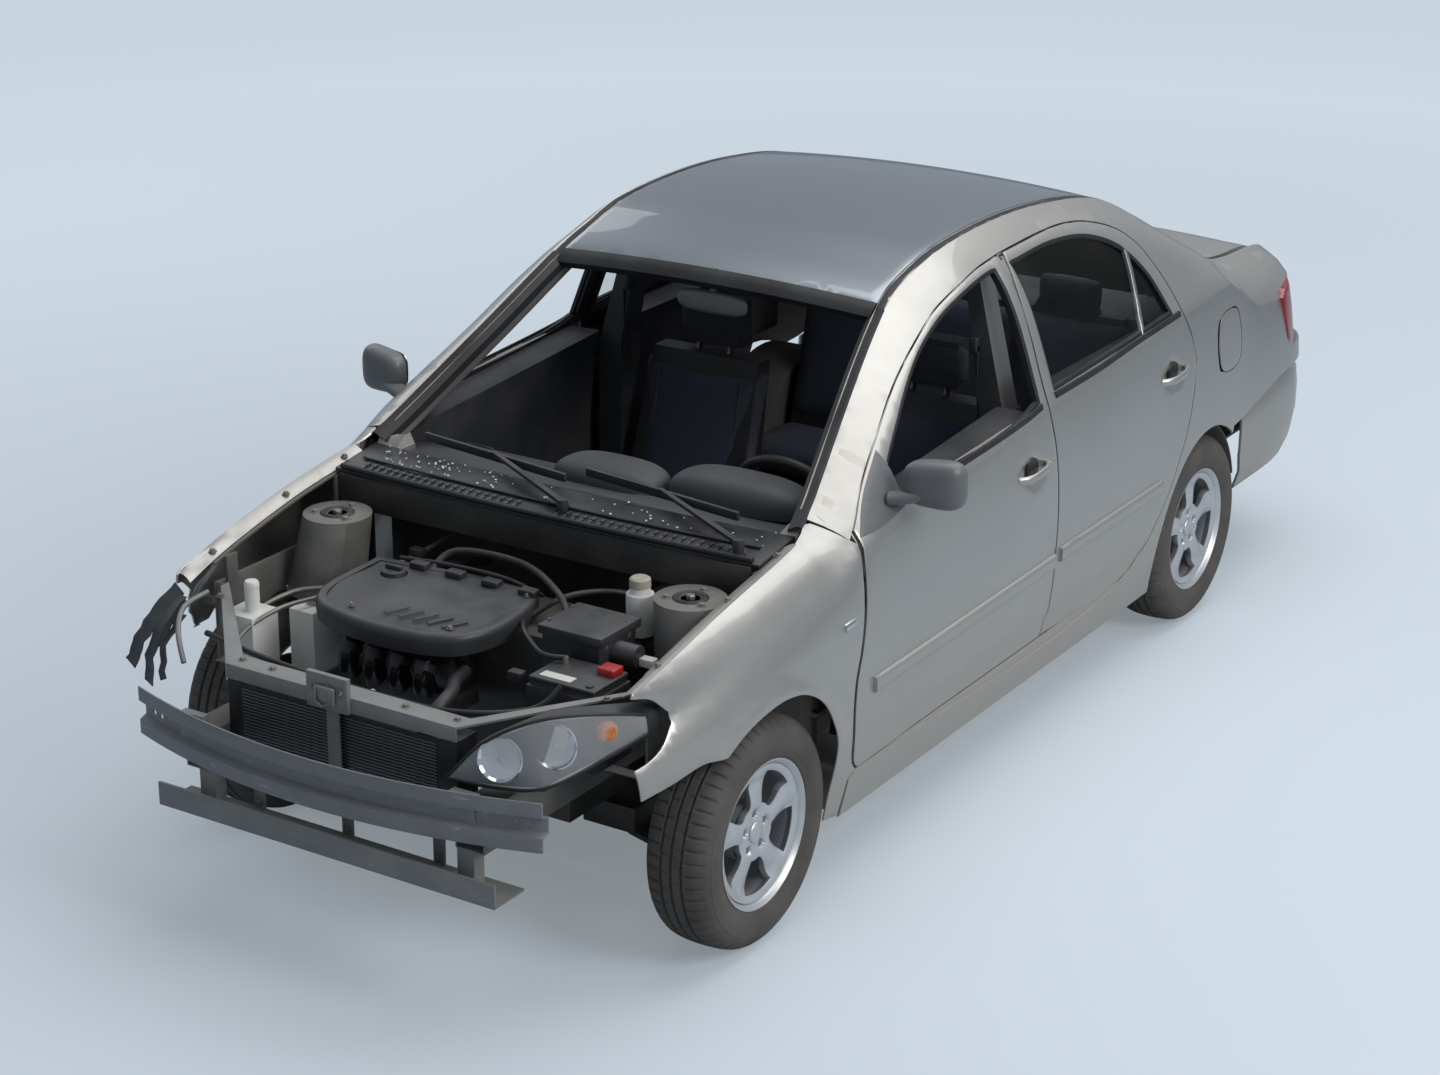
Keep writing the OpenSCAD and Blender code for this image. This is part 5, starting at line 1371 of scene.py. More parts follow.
fin_metal = worn_steel("fin_aluminium", (0.16, 0.16, 0.165), (0.35, 0.35, 0.35), (0.22, 0.21, 0.20), 0.5, 0.4)
refined("radiator", "radiator_tanks", fine_black, 0.003)
wave = []
for i in range(41):
    x = -0.325 + 0.60 * i / 40
    wave.append((x, -2.0395 + (0.0022 if i % 2 else 0.0), 0.0))
fin = object_from("fin", [(x, y - 0.001, z + 0.460) for x, y, z in wave] + [(x, y - 0.001, z + 0.4635) for x,
        y, z in wave],
                  [(i, i + 1, 42 + i, 41 + i) for i in range(40)])
repeated("radiator_fins", fin, 22, (0, 0, 0.0086), fin_metal)
disc("radiator_cap", (0.22, -2.016, 0.664), (0, 0, 1),
     [(0.0, 0.016), (0.020, 0.016), (0.024, 0.013), (0.025, 0.004),
                                                         (0.019, 0.003), (0.019, 0.0)], black_plastic, 24)
for x in (-0.062, -0.022, 0.018):
    loop = [(x + 0.006 * math.cos(a), -2.0785, 0.725 + 0.011 * math.sin(a)) for a in np.linspace(0,
            2 * math.pi, 20, endpoint=False)]
    rim = swept(f"lock_slot_{number}", loop, round_section(0.0012, 6), bar_steel, (0, -1, 0), closed=True)
    number += 1
    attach(rim, "root")
block("bonnet_lock", (-0.050, -2.090, 0.690), (0.006, -2.078, 0.735), bar_steel, 0.003)
path = [(-0.045, -2.092, 0.732), (-0.045, -2.094, 0.700), (-0.022, -2.095, 0.688), (0.0, -2.094, 0.700),
        (0.0, -2.092, 0.732)]
claw = swept("lock_claw", path, round_section(0.004, 8), bolt_steel, (0, -1, 0))
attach(claw, "root")


# ---------------------------------------------------------------------------
# Engine bay: moulded engine cover with oil cap and ribs, gloss black intake
# runners, battery, air box, bottles, and the hoses and looms between them.
# ---------------------------------------------------------------------------
cover_outline = [(-0.372, -1.444), (-0.281, -1.434), (0.136, -1.429), (0.168, -1.500), (0.182, -1.690),
                 (0.127, -1.790), (-0.257, -1.800), (-0.334, -1.738)]
outer_loop = rounded(cover_outline, 0.012, 1.3)
rows = []
for grow, z in ((0.004, 0.742), (0.0, 0.775), (0.001, 0.786), (0.006, 0.7945), (0.014, 0.798),
                (0.030, 0.7965)):
    loop = inset(outer_loop, grow)
    rows.append([(x, y, z) for x, y in loop] + [(loop[0][0], loop[0][1], z)])
side_wall = strip_between("cover_wall", rows, cover_plastic, 0.0)
top_loop = inset(outer_loop, 0.030)
cap_hole = [(-0.255 + 0.036 * math.cos(a), -1.520 + 0.036 * math.sin(a)) for a in np.linspace(0, 2 * math.pi,
        32, endpoint=False)]
top_face = pressing("cover_top", top_loop,
                    lambda x, y: (x, y, 0.7965 + 0.0015 * math.sin(30 * y) + (0.0 if x > 0.02 else -0.002)),
                    [cap_hole],
                    0.014, 0.003, 0, cover_plastic)
closed_up(side_wall, 0.0002)
engine_lid = join("engine_cover_moulding", [side_wall, top_face])
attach(engine_lid, "root")
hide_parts("engine_cover")
for k in range(5):
    x = -0.10 + 0.045 * k
    rib = swept(f"cover_rib_{k}", [(x, -1.755, 0.7985), (x + 0.030, -1.690, 0.7985)],
                box_section(0.010, 0.0035, 0.0012), cover_plastic)
    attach(rib, "root")
disc("oil_cap", (-0.255, -1.520, 0.789), (0, 0, 1),
     [(0.0, 0.016), (0.026, 0.016), (0.031, 0.013), (0.033, 0.0), (0.034, -0.004),
                                                     (0.0, -0.004)], black_plastic, 18)
block("oil_cap_grip", (-0.280, -1.526, 0.803), (-0.230, -1.514, 0.817), black_plastic, 0.003)
for k, (x, y) in enumerate(((-0.20, -1.760), (0.10, -1.750), (0.13, -1.470))):
    bolt(f"cover_bolt_{k}", (x, y, 0.798), (0, 0, 1), 0.006)
gloss_black = plastic("gloss_black", (0.008, 0.008, 0.009), rough=0.16, dusty=0.4, grain=0.05)
for k, x in enumerate((-0.220, -0.142, -0.064, 0.014)):
    path = [(x, -1.62 - 0.060 * math.sin(a), 0.640 + 0.060 * math.cos(a)) for a in np.linspace(-1.5, 2.2, 22)]
    path = [(x, y - 0.075, z) for x, y, z in path]
    runner = swept(f"intake_runner_{k}", path, round_section(0.031, 18, 0.75), gloss_black, (1, 0, 0))
    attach(runner, "root")
    collar = swept(f"runner_collar_{k}", [path[13], path[15]], round_section(0.034, 18, 0.78), cover_plastic,
                   (1, 0, 0))
    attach(collar, "root")
refined("intake_manifold", "intake_plenum", cover_plastic, 0.006)
refined("battery", "battery_case", black_plastic, 0.004)
block("battery_lid", (0.364, -1.791, 0.742), (0.556, -1.644, 0.752), cover_plastic, 0.004)
red_plastic = plastic("red_plastic", (0.45, 0.02, 0.02), rough=0.35, dusty=0.3, grain=0.1)
pale = plastic("pale_plastic", (0.72, 0.71, 0.66), (0.45, 0.42, 0.36), rough=0.42, dusty=0.5, grain=0.1)
tan = plastic("tan_plastic", (0.42, 0.39, 0.32), (0.30, 0.27, 0.22), rough=0.5, dusty=0.6, grain=0.2)
block("battery_terminal_cover", (0.500, -1.700, 0.750), (0.550, -1.655, 0.772), red_plastic, 0.005)
block("battery_blank_strip", (0.385, -1.775, 0.7515), (0.475, -1.745, 0.7535), pale, 0.0008)
disc("battery_post", (0.395, -1.680, 0.750), (0, 0, 1), [(0.0, 0.018), (0.008, 0.018), (0.009, 0.0)],
     bolt_steel, 20)
refined("air_filter_box", "air_box_moulding", cover_plastic, 0.005)
for k, (x, y) in enumerate(((0.292, -1.60), (0.292, -1.50), (0.458, -1.60), (0.458, -1.50))):
    clip = swept(f"air_box_clip_{k}",
                 [(x, y, 0.770), (x + (0.006 if x > 0.4 else -0.006), y, 0.800), (x, y, 0.818)],
                 box_section(0.012, 0.0016, 0.0004), bolt_steel, (1 if x > 0.4 else -1, 0, 0))
    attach(clip, "root")
refined("fluid_bottles", "bottle_mouldings", pale, 0.006)
disc("reservoir_cap", (0.403, -1.366, 0.856), (0, 0, 1),
     [(0.0, 0.018), (0.022, 0.018), (0.027, 0.014), (0.028, -0.006)], tan, 28)
disc("washer_cap", (-0.500, -1.790, 0.797), (0, 0, 1),
     [(0.0, 0.012), (0.016, 0.012), (0.019, 0.008), (0.020, -0.004)], pale, 24)
for name, radius, material, knots in (
        ("top_hose", 0.017, black_plastic,
         ((0.200, -2.010, 0.640), (0.215, -1.950, 0.690), (0.200, -1.880, 0.700),
                                            (0.150, -1.800, 0.690), (0.120, -1.720, 0.680))),
        ("heater_hose", 0.011, black_plastic,
         ((-0.280, -1.470, 0.700), (-0.330, -1.380, 0.740), (-0.300, -1.280, 0.730),
                                               (-0.250, -1.120, 0.700))),
        ("servo_hose", 0.008, black_plastic,
         ((0.160, -1.500, 0.760), (0.220, -1.420, 0.800), (0.300, -1.330, 0.800),
                                              (0.370, -1.240, 0.760))),
        ("coolant_pipe", 0.007, bolt_steel,
         ((-0.560, -1.800, 0.600), (-0.590, -1.700, 0.660), (-0.560, -1.560, 0.690),
                                             (-0.450, -1.450, 0.700), (-0.380, -1.250, 0.740),
                                             (-0.360, -1.110, 0.760))),
        ("cooling_line", 0.006, bolt_steel,
         ((-0.300, -2.010, 0.560), (-0.400, -1.960, 0.640), (-0.470, -1.880, 0.690),
                                             (-0.440, -1.760, 0.735), (-0.400, -1.600, 0.730))),
        ("loom_front", 0.008, fine_black,
         ((-0.560, -1.900, 0.690), (-0.300, -1.965, 0.700), (0.000, -1.970, 0.690),
                                           (0.250, -1.955, 0.690), (0.420, -1.860, 0.700),
                                           (0.470, -1.800, 0.750))),
        ("loom_engine", 0.007, fine_black,
         ((0.180, -1.560, 0.770), (0.250, -1.640, 0.780), (0.340, -1.700, 0.770),
                                            (0.395, -1.680, 0.765))),
        ("loom_coils", 0.006, fine_black,
         ((-0.300, -1.435, 0.800), (-0.150, -1.420, 0.806), (0.020, -1.418, 0.806),
                                           (0.150, -1.430, 0.790))),
        ("brake_pipe", 0.003, bolt_steel,
         ((0.403, -1.300, 0.720), (0.470, -1.300, 0.690), (0.560, -1.260, 0.700),
                                           (0.620, -1.200, 0.720))),
        ("breather", 0.009, black_plastic,
         ((-0.200, -1.450, 0.780), (-0.160, -1.380, 0.830), (0.050, -1.380, 0.840),
                                            (0.220, -1.460, 0.820), (0.300, -1.530, 0.790)))):
    hose(name, knots, radius, material)
for k in range(4):
    x = -0.245 + 0.115 * k
    block(f"coil_{k}", (x, -1.472, 0.792), (x + 0.050, -1.440, 0.812), black_plastic, 0.004)
for k, (x, y, z) in enumerate(((-0.42, -1.64, 0.713), (-0.35, -1.30, 0.76), (0.30, -1.75, 0.72),
                               (0.55, -1.55, 0.74))):
    block(f"connector_{k}", (x - 0.02, y - 0.014, z - 0.008), (x + 0.02, y + 0.014, z + 0.014),
          (tan, black_plastic, black_plastic, pale)[k], 0.003)


# ---------------------------------------------------------------------------
# Left headlamp: hazed clear moulded lens on a black rubber seal, over a grey
# bowl with two bright reflectors and an amber lamp at its outer end.
# ---------------------------------------------------------------------------
lamp_face = [(0.352, -2.100, 0.600), (0.440, -2.082, 0.700), (0.560, -2.030, 0.768), (0.680, -1.870, 0.756),
             (0.712, -1.800, 0.735), (0.715, -1.795, 0.690), (0.680, -1.875, 0.664), (0.575, -2.030, 0.600)]
upper = rounded(lamp_face[:5], 0.02, 1.5, closed=False)
lower = rounded([lamp_face[0], (0.470, -2.070, 0.592), lamp_face[7], lamp_face[6], lamp_face[5]], 0.02, 1.5,
                closed=False)


def point_on(line, t):
    s = t * (len(line) - 1)
    i = min(int(s), len(line) - 2)
    return line[i].lerp(line[i + 1], s - i)


def lamp_rows(crown, sink, grow=0.0):
    rows = []
    for t in np.linspace(0.0, 1.0, 34):
        a, b = point_on(lower, t), point_on(upper, t)
        out = Vector((0.45, -0.80, 0.38)).normalized()
        row = []
        for s in np.linspace(0.0, 1.0, 15):
            p = a.lerp(b, s)
            row.append(p + out * (crown * (4 * s * (1 - s)) ** 0.6 * (4 * t * (1 - t) + 0.02) ** 0.4 - sink))
        rows.append(row)
    return rows


haze = Finish("hazed_lens", Roughness=0.10, Coat_Weight=0.6, Coat_Roughness=0.05)
scratches = haze.noise(160.0)
dirt = haze.noise(9.0)
haze.set(Base_Color=haze.blend(dirt.ramp(0.35, 0.75), (0.80, 0.81, 0.82), (0.62, 0.60, 0.56)),
         Alpha=0.16 + 0.22 * dirt.ramp(0.45, 0.85) + 0.05 * scratches)
lens = strip_between("headlamp_lens", lamp_rows(0.010, 0.004), haze.material, 0.002)
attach(lens, "root")
bowl_grey = plastic("lamp_bowl", (0.50, 0.51, 0.52), (0.55, 0.54, 0.52), rough=0.35, dusty=0.4, grain=0.1)
bowl = strip_between("headlamp_bowl", lamp_rows(-0.030, 0.010), bowl_grey, 0.002)
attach(bowl, "root")
hull = refined("headlamp_left", "headlamp_body", black_plastic, 0.002)
out = Vector((0.45, -0.80, 0.38)).normalized()
for vertex in hull.data.vertices:
    vertex.co -= out * 0.020
chrome = Finish("lamp_chrome", Metallic=1.0)
chrome.set(Base_Color=chrome.blend(chrome.noise(8.0).ramp(0.4, 0.8), (0.85, 0.86, 0.88), (0.6, 0.6, 0.6)),
           Roughness=0.08 + 0.12 * chrome.noise(30.0))
amber = Finish("amber_lens", Coat_Weight=0.8)
amber.set(Base_Color=amber.blend(amber.cells(140.0).ramp(0.1, 0.6), (0.80, 0.26, 0.03), (0.55, 0.15, 0.02)),
          Roughness=0.15 + 0.1 * amber.noise(20.0))
for k, (place, r) in enumerate((((0.486, -2.072, 0.668), 0.052), ((0.590, -2.000, 0.700), 0.052))):
    disc(f"headlamp_reflector_{k}", place, (0.35, -0.90, 0.25),
                 [(0.0, -0.028), (r * 0.35, -0.026), (r * 0.7, -0.016), (r * 0.93, -0.002), (r, 0.002),
                  (r * 1.06, 0.0),
                  (r * 1.06, -0.004)],
                 chrome.material, 44)
    disc(f"headlamp_bulb_{k}", place, (0.35, -0.90, 0.25),
         [(0.0, 0.0), (0.006, -0.002), (0.0085, -0.008), (0.0085, -0.027)],
                bowl_grey, 20)
disc("indicator_lamp", (0.668, -1.895, 0.716), (0.75, -0.60, 0.15),
     [(0.0, 0.004), (0.018, 0.002), (0.026, -0.006), (0.027, -0.020)],
     amber.material, 32)
edge = [row[0] for row in lamp_rows(0.0, 0.004)] + [row[-1] for row in lamp_rows(0.0, 0.004)][::-1]
lamp_seal = swept("headlamp_seal", edge, round_section(0.0045, 8), seal_rubber, (0.45, -0.80, 0.38),
                  closed=True)
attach(lamp_seal, "root")


# ---------------------------------------------------------------------------
# Torn wheel-arch liner: strips of thin black plastic hanging from the right
# wing's broken front, with a bent grey lamp bracket still bolted to it.
# ---------------------------------------------------------------------------
for k, (knots, width) in enumerate((
        (((-0.735, -1.800, 0.740), (-0.765, -1.850, 0.690), (-0.790, -1.900, 0.620),
          (-0.800, -1.925, 0.560)), 0.060),
        (((-0.700, -1.830, 0.735), (-0.712, -1.900, 0.680), (-0.725, -1.935, 0.600),
          (-0.722, -1.945, 0.530)), 0.045),
        (((-0.755, -1.770, 0.700), (-0.790, -1.800, 0.640), (-0.800, -1.820, 0.570)), 0.070),
        (((-0.670, -1.860, 0.700), (-0.680, -1.930, 0.640), (-0.660, -1.960, 0.560)), 0.030))):
    line = [Vector(p) for p in knots]
    path = []
    for i in range(len(line) - 1):
        path += [line[i].lerp(line[i + 1], t) for t in (0.0, 0.25, 0.5, 0.75)]
    path.append(line[-1])
    path = [p + Vector((0.002 * math.sin(3 * i + k), 0.003 * math.sin(2 * i + k), 0)) for i,
            p in enumerate(path)]
    torn = swept(f"torn_liner_{k}", path,
                 [(-width / 2, 0), (width * 0.4, 0.002), (width / 2, 0.004), (width / 2, 0.006),
                                           (width * 0.4, 0.004), (-width / 2, 0.002)], cover_plastic,
                                           (-0.5, -1, 0.2))
    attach(torn, "root")
hose("bent_lamp_bracket", ((-0.640, -1.800, 0.752), (-0.650, -1.880, 0.735), (-0.610, -1.950, 0.700),
                           (-0.560, -1.990, 0.640)),
            0.007, bar_steel)
hanger = swept("wing_bracket_left", [(0.700, -1.800, 0.560), (0.722, -1.730, 0.556), (0.738, -1.650, 0.560)],
               box_section(0.034, 0.003, 0.001), bar_steel, (0.9, -0.2, 0))
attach(hanger, "root")
for k, y in enumerate((-1.775, -1.690)):
    disc(f"wing_bracket_hole_{k}", (0.714 + (y + 1.775) * 0.2 + 0.0045, y, 0.558), (0.95, -0.25, 0),
         [(0.0, 0.0), (0.0065, 0.0004), (0.009, 0.0)], fine_black, 20)


# ---------------------------------------------------------------------------
# Scuttle: black moulded cowl under the screen hole with rows of vent slots
# near its front edge, a foam hood seal, two wiper arms and pale glass flakes.
# ---------------------------------------------------------------------------
refined("cowl_cover", "cowl_moulding", fine_black, 0.003)
refined("wiper_arms", "wiper_arm_castings", black_plastic, 0.0012)


def cowl_place(u, v):
    """A point on the cowl, u across from -1 to 1 and v back from 0 to 1."""
    y0, depth = -1.285 + 0.045 * u * u, 0.170 + 0.005 * u * u
    return Vector((0.672 * u, y0 + depth * v, 0.921 + 0.022 * v + 0.010 * (1 - u * u)))


for j, v in enumerate((0.14, 0.26)):
    louvres = []
    for k in range(46):
        u = -0.88 + 1.76 * k / 45
        if abs(u) < 0.07:
            continue
        p, q = cowl_place(u, v), cowl_place(u, v + 0.09)
        w = Vector((0.0042, 0, 0))
        points = [p - w, p + w, q + w, q - w]
        louvres.append([c + Vector((0, 0, 0.0008)) for c in points] + [c + Vector((0, 0,
                0.0042)) for c in points])
    points, faces = [], []
    for eight in louvres:
        base = len(points)
        points += eight
        faces += [tuple(base + i for i in f) for f in ((3, 2, 1, 0), (4, 5, 6, 7), (0, 1, 5, 4),
                                                       (1, 2, 6, 5), (2, 3, 7, 6), (3, 0, 4, 7))]
    row = object_from(f"cowl_louvres_{j}", points, faces)
    row.data.materials.append(cover_plastic)
    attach(row, "root")
path = [cowl_place(u, 0.04) + Vector((0, 0, 0.006)) for u in np.linspace(-0.97, 0.97, 50)]
hood_seal = swept("hood_seal", path, round_section(0.008, 10), seal_rubber, (0, 0, 1))
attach(hood_seal, "root")
path = [cowl_place(u, 0.45) + Vector((0, 0, 0.002)) for u in np.linspace(-0.94, 0.94, 50)]
step_rib = swept("cowl_step", path, box_section(0.008, 0.005, 0.001), fine_black, (0, 0, 1))
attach(step_rib, "root")
random.seed(7)
flake = Finish("screen_flakes", Roughness=0.2)
flake.set(Base_Color=flake.blend(flake.noise(60.0).ramp(0.4, 0.7), (0.80, 0.82, 0.82), (0.55, 0.60, 0.60)))
points, faces = [], []
for k in range(90):
    side_bias = random.random() < 0.6
    u, v = (random.uniform(-0.92, -0.25) if side_bias else random.uniform(-0.9, 0.95)), random.uniform(0.50,
            0.97)
    p = cowl_place(u, v) + Vector((0, 0, 0.0035))
    size, base = random.uniform(0.0015, 0.004), len(points)
    count = random.choice((4, 5))
    turn = random.uniform(0, 6)
    for h in (0.0, 0.0022):
        points += [p + Vector((size * math.cos(turn + 2 * math.pi * i / count),
                               size * math.sin(turn + 2 * math.pi * i / count), h))
                   for i in range(count)]
    faces += [tuple(base + i for i in range(count))[::-1], tuple(base + count + i for i in range(count))]
    faces += [(base + i, base + (i + 1) % count, base + count + (i + 1) % count,
               base + count + i) for i in range(count)]
flakes = object_from("broken_screen_flakes", points, faces)
flakes.data.materials.append(flake.material)
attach(flakes, "root")
for k, x in enumerate((0.066, 0.600)):
    disc(f"wiper_cap_{k}", (x, -1.222, 0.952), (0, 0, 1),
         [(0.0, 0.016), (0.010, 0.016), (0.015, 0.012), (0.017, 0.0)], black_plastic, 24)
    a = math.radians(-8)
    cx, cy = x - 0.330, -1.070
    path = [(cx + t * math.cos(a), cy - t * math.sin(a) * -1,
             0.975 + 0.004 * (1 - (t / 0.26) ** 2)) for t in np.linspace(-0.25, 0.25, 24)]
    blade = swept(f"wiper_rubber_{k}", path, box_section(0.008, 0.006, 0.001), seal_rubber, (0, 0, 1))
    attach(blade, "root")


# ---------------------------------------------------------------------------
# Cabin: dashboard with a hooded binnacle and a centre hump, steering wheel,
# belts and mirror, moulded dark plastics with a fine grain.
# ---------------------------------------------------------------------------
dash_grain = plastic("dashboard_grain", (0.048, 0.050, 0.055), (0.12, 0.12, 0.12), rough=0.55, dusty=0.45,
                     grain=0.5)
refined("dashboard", "dashboard_moulding", dash_grain, 0.012)
for name, cx, cy, rx, ry, top in (("binnacle_hood", 0.370, -0.835, 0.215, 0.090, 0.985),
                                  ("centre_hump", -0.02, -0.870, 0.170, 0.090, 0.962)):
    rows = []
    for s in np.linspace(0, 1, 12):
        a = s * math.pi / 2
        row = []
        for b in np.linspace(0, 2 * math.pi, 41):
            px = math.copysign(abs(math.cos(b)) ** 0.7, math.cos(b))
            py = math.copysign(abs(math.sin(b)) ** 0.7, math.sin(b))
            row.append((cx + rx * px * math.sin(a) ** 0.6, cy + ry * py * math.sin(a) ** 0.6,
                        0.905 + (top - 0.905) * math.cos(a) ** 0.8))
        rows.append(row)
    hump = strip_between(name, rows, dash_grain, 0.0)
    closed_up(hump, 0.0003, fill=True)
    soften(hump, 60)
    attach(hump, "root")
path = [(x, -1.035, 0.913) for x in np.linspace(-0.60, 0.60, 30)]
demist = swept("demister_slot", path, box_section(0.030, 0.003, 0.001), fine_black, (0, 0, 1))
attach(demist, "root")
for k, (x, w) in enumerate(((-0.58, 0.05), (-0.09, 0.05), (0.09, 0.05), (0.61, 0.04))):
    block(f"air_vent_{k}", (x - w, -0.726, 0.80), (x + w, -0.712, 0.855), black_plastic, 0.006)
wheel_grip = plastic("wheel_grip", (0.016, 0.016, 0.018), (0.06, 0.06, 0.06), rough=0.45, dusty=0.3,
                     grain=0.6)
refined("steering_wheel", "steering_wheel_moulding", wheel_grip, 0.003, "hand_wheel")
belt_web = Finish("belt_webbing")
weave = belt_web.noise(1200.0)
belt_web.set(Base_Color=belt_web.blend(weave.ramp(0.3, 0.7), (0.012, 0.012, 0.013), (0.045, 0.045, 0.045)),
             Roughness=0.7 + 0.2 * weave)
belt_web.bump(weave, 0.0004, 0.6)
for side, s in (("left", 1), ("right", -1)):
    path = rounded([(0.0, 1.150), (0.006, 0.900), (0.0, 0.600), (-0.010, 0.400)], 0.03, 1.5, closed=False)
    belt_line = [(s * (0.600 + 0.055 * max(0, (1.0 - z)) ** 0.8), 0.060 + y, z) for y, z in path]
    belt_piece = swept(f"seat_belt_{side}", belt_line, box_section(0.046, 0.0016, 0.0004), belt_web.material,
                       (-s, 0, 0))
    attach(belt_piece, "root")
    block(f"belt_guide_{side}", (min(s * 0.575, s * 0.60), 0.030, 1.130),
          (max(s * 0.575, s * 0.60), 0.092, 1.175), black_plastic, 0.006)
rows = []
for a in np.linspace(-math.pi / 2, math.pi / 2, 11):
    rows.append([(0.115 * math.cos(a) ** 0.5 * math.copysign(abs(math.cos(b)) ** 0.6, math.cos(b)) + 0.0,
                  -0.405 + 0.016 * math.sin(a),
                  1.290 + 0.032 * math.cos(a) ** 0.5 * math.copysign(abs(math.sin(b)) ** 0.6, math.sin(b)))
                 for b in np.linspace(0, 2 * math.pi, 33)])
rear_view = strip_between("interior_mirror", rows, mirror_grey)
closed_up(rear_view, 0.0002, fill=True)
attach(soften(rear_view, 60), "root")
hose("mirror_stem", ((0.0, -0.392, 1.385), (0.0, -0.395, 1.350), (0.0, -0.400, 1.310)), 0.010, mirror_grey)
refined("rear_shelf", "rear_shelf_board", dash_grain, 0.003)


# ---------------------------------------------------------------------------
# Seats: foam cushions in navy-charcoal woven cloth with smooth bolsters. Each
# pad is pushed out by a short cloth run up to a cap and smoothed, and the
# front cushions and backs are piped.
# ---------------------------------------------------------------------------
cloth = Finish("seat_cloth")
x_, y_, z_ = cloth.axes()
dots = (x_ * 900.0).sine() * (y_ * 900.0 + z_ * 900.0).sine()
worn = cloth.noise(6.0)
fibre = cloth.noise(500.0)
cloth.set(Base_Color=cloth.blend(dots.ramp(0.2, 0.7) * 0.7 + fibre * 0.3, (0.026, 0.034, 0.058),
                                 (0.085, 0.098, 0.135)),
          Roughness=0.80 + 0.15 * worn)
cloth.bump(dots + fibre, 0.0006, 0.6)
bolster_cloth = Finish("bolster_cloth")
knit = bolster_cloth.noise(700.0)
bolster_cloth.set(Base_Color=bolster_cloth.blend(bolster_cloth.noise(5.0).ramp(0.3, 0.8) * 0.7 + knit * 0.3,
                                                 (0.030, 0.034, 0.048),
                                                 (0.075, 0.080, 0.098)),
                  Roughness=0.82 + 0.12 * knit)
bolster_cloth.bump(knit, 0.0005, 0.5)


def pad(name, corners, radius, cap, centre_width=0.0, node=None):
    """A padded cushion from its eight corners, remeshed and swelled under pressure."""
    obj = object_from(name, corners,
                      [(3, 2, 1, 0), (4, 5, 6, 7), (0, 1, 5, 4), (1, 2, 6, 5), (2, 3, 7, 6), (3, 0, 4, 7)])
    closed_up(obj)
    bevel = obj.modifiers.new("edge", "BEVEL")
    bevel.width, bevel.segments = radius, 5
    mesher = obj.modifiers.new("voxels", "REMESH")
    mesher.mode, mesher.voxel_size = "VOXEL", 0.0145
    settle(obj)
    start_points = [v.co.copy() for v in obj.data.vertices]
    sim = obj.modifiers.new("cloth", "CLOTH")
    sim.settings.use_pressure = True
    sim.settings.uniform_pressure_force = 4
    sim.settings.effector_weights.gravity = 0
    sim.settings.quality = 4
    sim.point_cache.frame_end = 20
    for step in range(1, 21):
        scene.frame_set(step)
    graph = bpy.context.evaluated_depsgraph_get()
    swelled = [v.co.copy() for v in obj.evaluated_get(graph).data.vertices]
    obj.modifiers.remove(sim)
    scene.frame_set(1)
    for vertex, rest, now in zip(obj.data.vertices, start_points, swelled):
        shift = now - rest
        if shift.length > cap:
            shift = shift.normalized() * cap
        vertex.co = rest + shift
    smoother = obj.modifiers.new("smooth", "SMOOTH")
    smoother.factor, smoother.iterations = 0.5, 4
    finer = obj.modifiers.new("finer", "SUBSURF")
    finer.levels = finer.render_levels = 1
    settle(obj)
    obj.data.materials.append(bolster_cloth.material)
    obj.data.materials.append(cloth.material)
    middle = sum((Vector(c) for c in corners), Vector()) / 8
    for polygon in obj.data.polygons:
        polygon.use_smooth = True
        if centre_width and abs(polygon.center.x - middle.x) < centre_width:
            polygon.material_index = 1
    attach(obj, "root")
    return obj


def slab(x0, x1, low_front, low_back, high_front, high_back):
    """Corners of a cushion: each of the last four is a (y, z) pair."""
    return [(x0, *low_front), (x1, *low_front), (x1, *low_back), (x0, *low_back),
            (x0, *high_front), (x1, *high_front), (x1, *high_back), (x0, *high_back)]


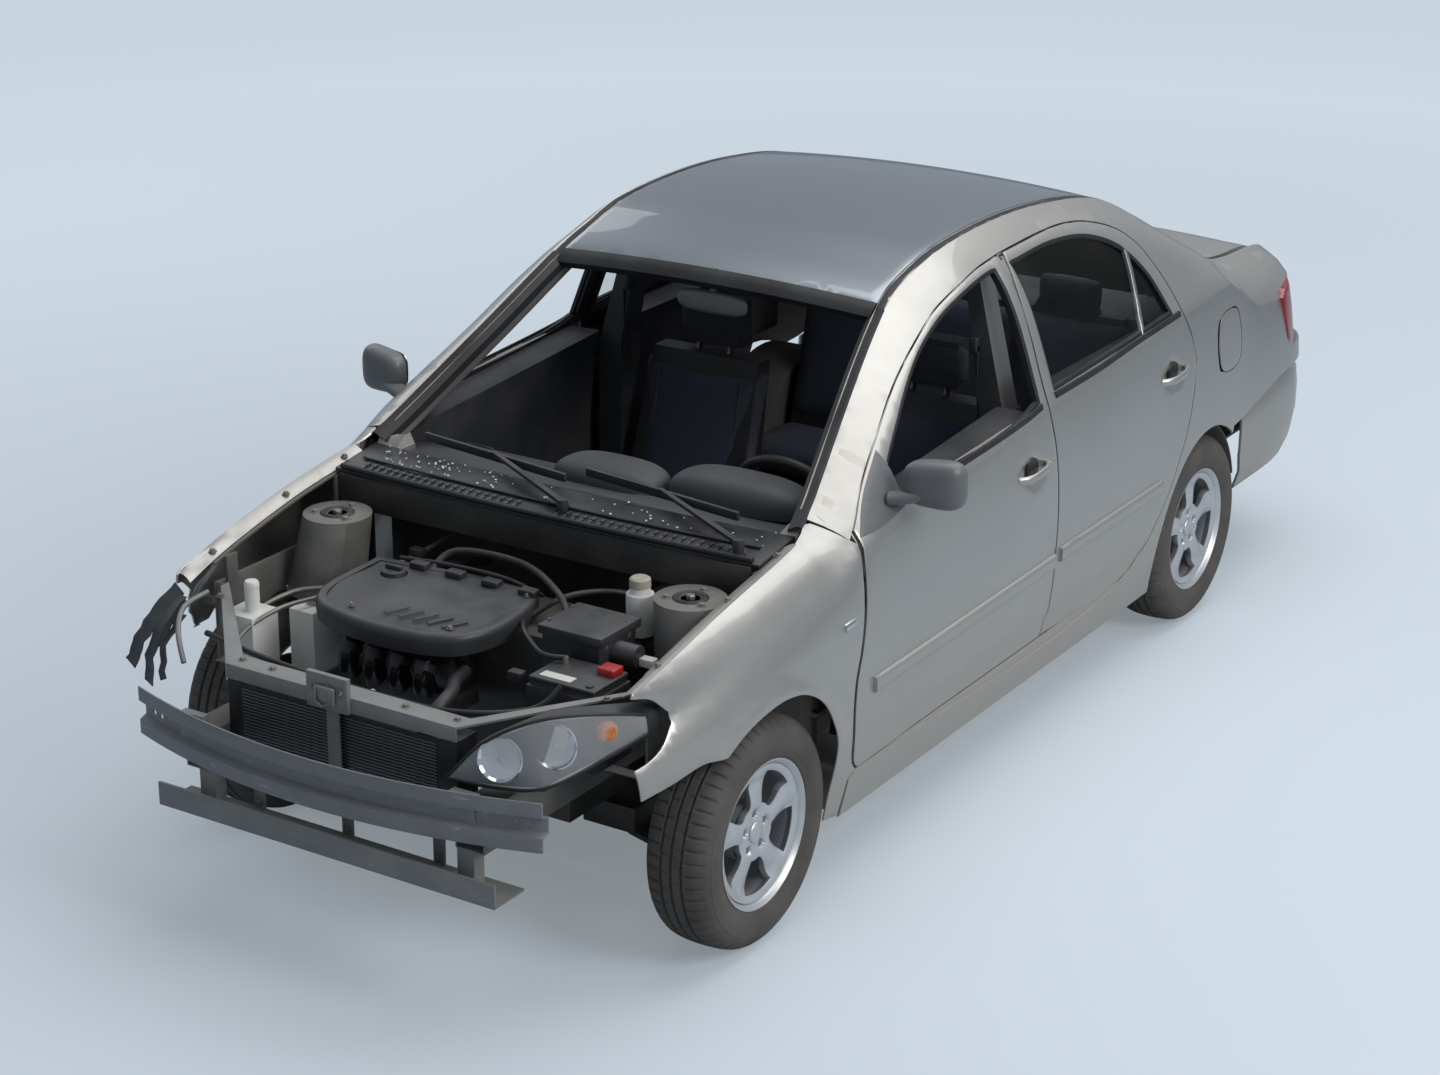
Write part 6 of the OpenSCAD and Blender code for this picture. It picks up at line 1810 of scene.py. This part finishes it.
pads = []
for side, s in (("left", 1), ("right", -1)):
    x = s * 0.370
    pads.append(pad(f"seat_cushion_{side}",
                    slab(x - 0.232, x + 0.232, (-0.485, 0.278), (-0.030, 0.275), (-0.480, 0.408),
                         (-0.030, 0.378)),
                    0.045, 0.014, 0.145))
    pads.append(pad(f"seat_back_{side}",
                    slab(x - 0.225, x + 0.225, (-0.045, 0.345), (0.020, 0.345), (0.142, 0.925),
                         (0.190, 0.925)),
                    0.028, 0.014, 0.140))
    pads.append(pad(f"head_restraint_{side}",
                    slab(x - 0.118, x + 0.118, (0.166, 0.975), (0.230, 0.975), (0.168, 1.092),
                         (0.228, 1.092)),
                    0.028, 0.006))
    for k in (-1, 1):
        post = swept(f"head_restraint_post_{side}_{(k + 1) // 2}",
                     [(x + 0.055 * k, 0.170, 0.900), (x + 0.055 * k, 0.196, 0.990)],
                     round_section(0.0055, 12), bolt_steel, (1, 0, 0))
        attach(post, "root")
    for k in (-1, 1):
        for line, tag in (([(-0.470, 0.418), (-0.30, 0.424), (-0.080, 0.402)], "cushion"),
                          ([(-0.020, 0.440), (0.040, 0.620), (0.110, 0.880)], "back")):
            path = [(x + 0.146 * k, y, z) for y, z in rounded(line, 0.03, 1.5, closed=False)]
            piping = swept(f"seat_piping_{tag}_{side}_{(k + 1) // 2}", path, round_section(0.003, 8),
                           bolster_cloth.material, (1, 0, 0))
            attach(piping, "root")
base = refined("front_seats", "front_seat_frames", black_plastic, 0.0)
for vertex in base.data.vertices:
    p = vertex.co
    middle_x = math.copysign(0.370, p.x)
    if p.z > 0.262:
        p.x = middle_x + (p.x - middle_x) * 0.86
        if p.y < -0.0:
            p.z = min(p.z, 0.360)
        centre_y = -0.03 + 0.30 * (p.z - 0.30) + 0.02
        p.y += 0.012 if p.z > 0.45 and p.y < centre_y + 0.02 else 0.0
pads.append(pad("rear_cushion",
                slab(-0.588, 0.588, (0.605, 0.405), (0.975, 0.405), (0.602, 0.482), (0.980, 0.468)), 0.030,
                0.010,
                0.45))
for side, s in (("left", 1), ("right", -1)):
    x = s * 0.36
    pads.append(pad(f"rear_head_restraint_{side}",
                    slab(x - 0.11, x + 0.11, (1.100, 0.965), (1.150, 0.965), (1.105, 1.070), (1.150, 1.070)),
                    0.022, 0.005))
for k in (-1, 0, 1):
    pads.append(pad(f"rear_back_{k + 1}",
                    slab(k * 0.392 - 0.192, k * 0.392 + 0.192, (0.968, 0.475), (1.035, 0.475),
                         (1.090, 0.945), (1.145, 0.945)),
                    0.022, 0.010, 0.13))
rear_base = refined("rear_seat", "rear_seat_base", black_plastic, 0.0)
for vertex in rear_base.data.vertices:
    p = vertex.co
    p.x *= 0.97
    if p.z > 0.46 and p.y < 0.985:
        p.z -= 0.040
    if p.z > 0.96:
        p.x = math.copysign(0.36, p.x) + (p.x - math.copysign(0.36, p.x)) * 0.5
        p.z -= 0.02
    if p.z > 0.46:
        p.y = min(p.y + 0.035, 1.155)
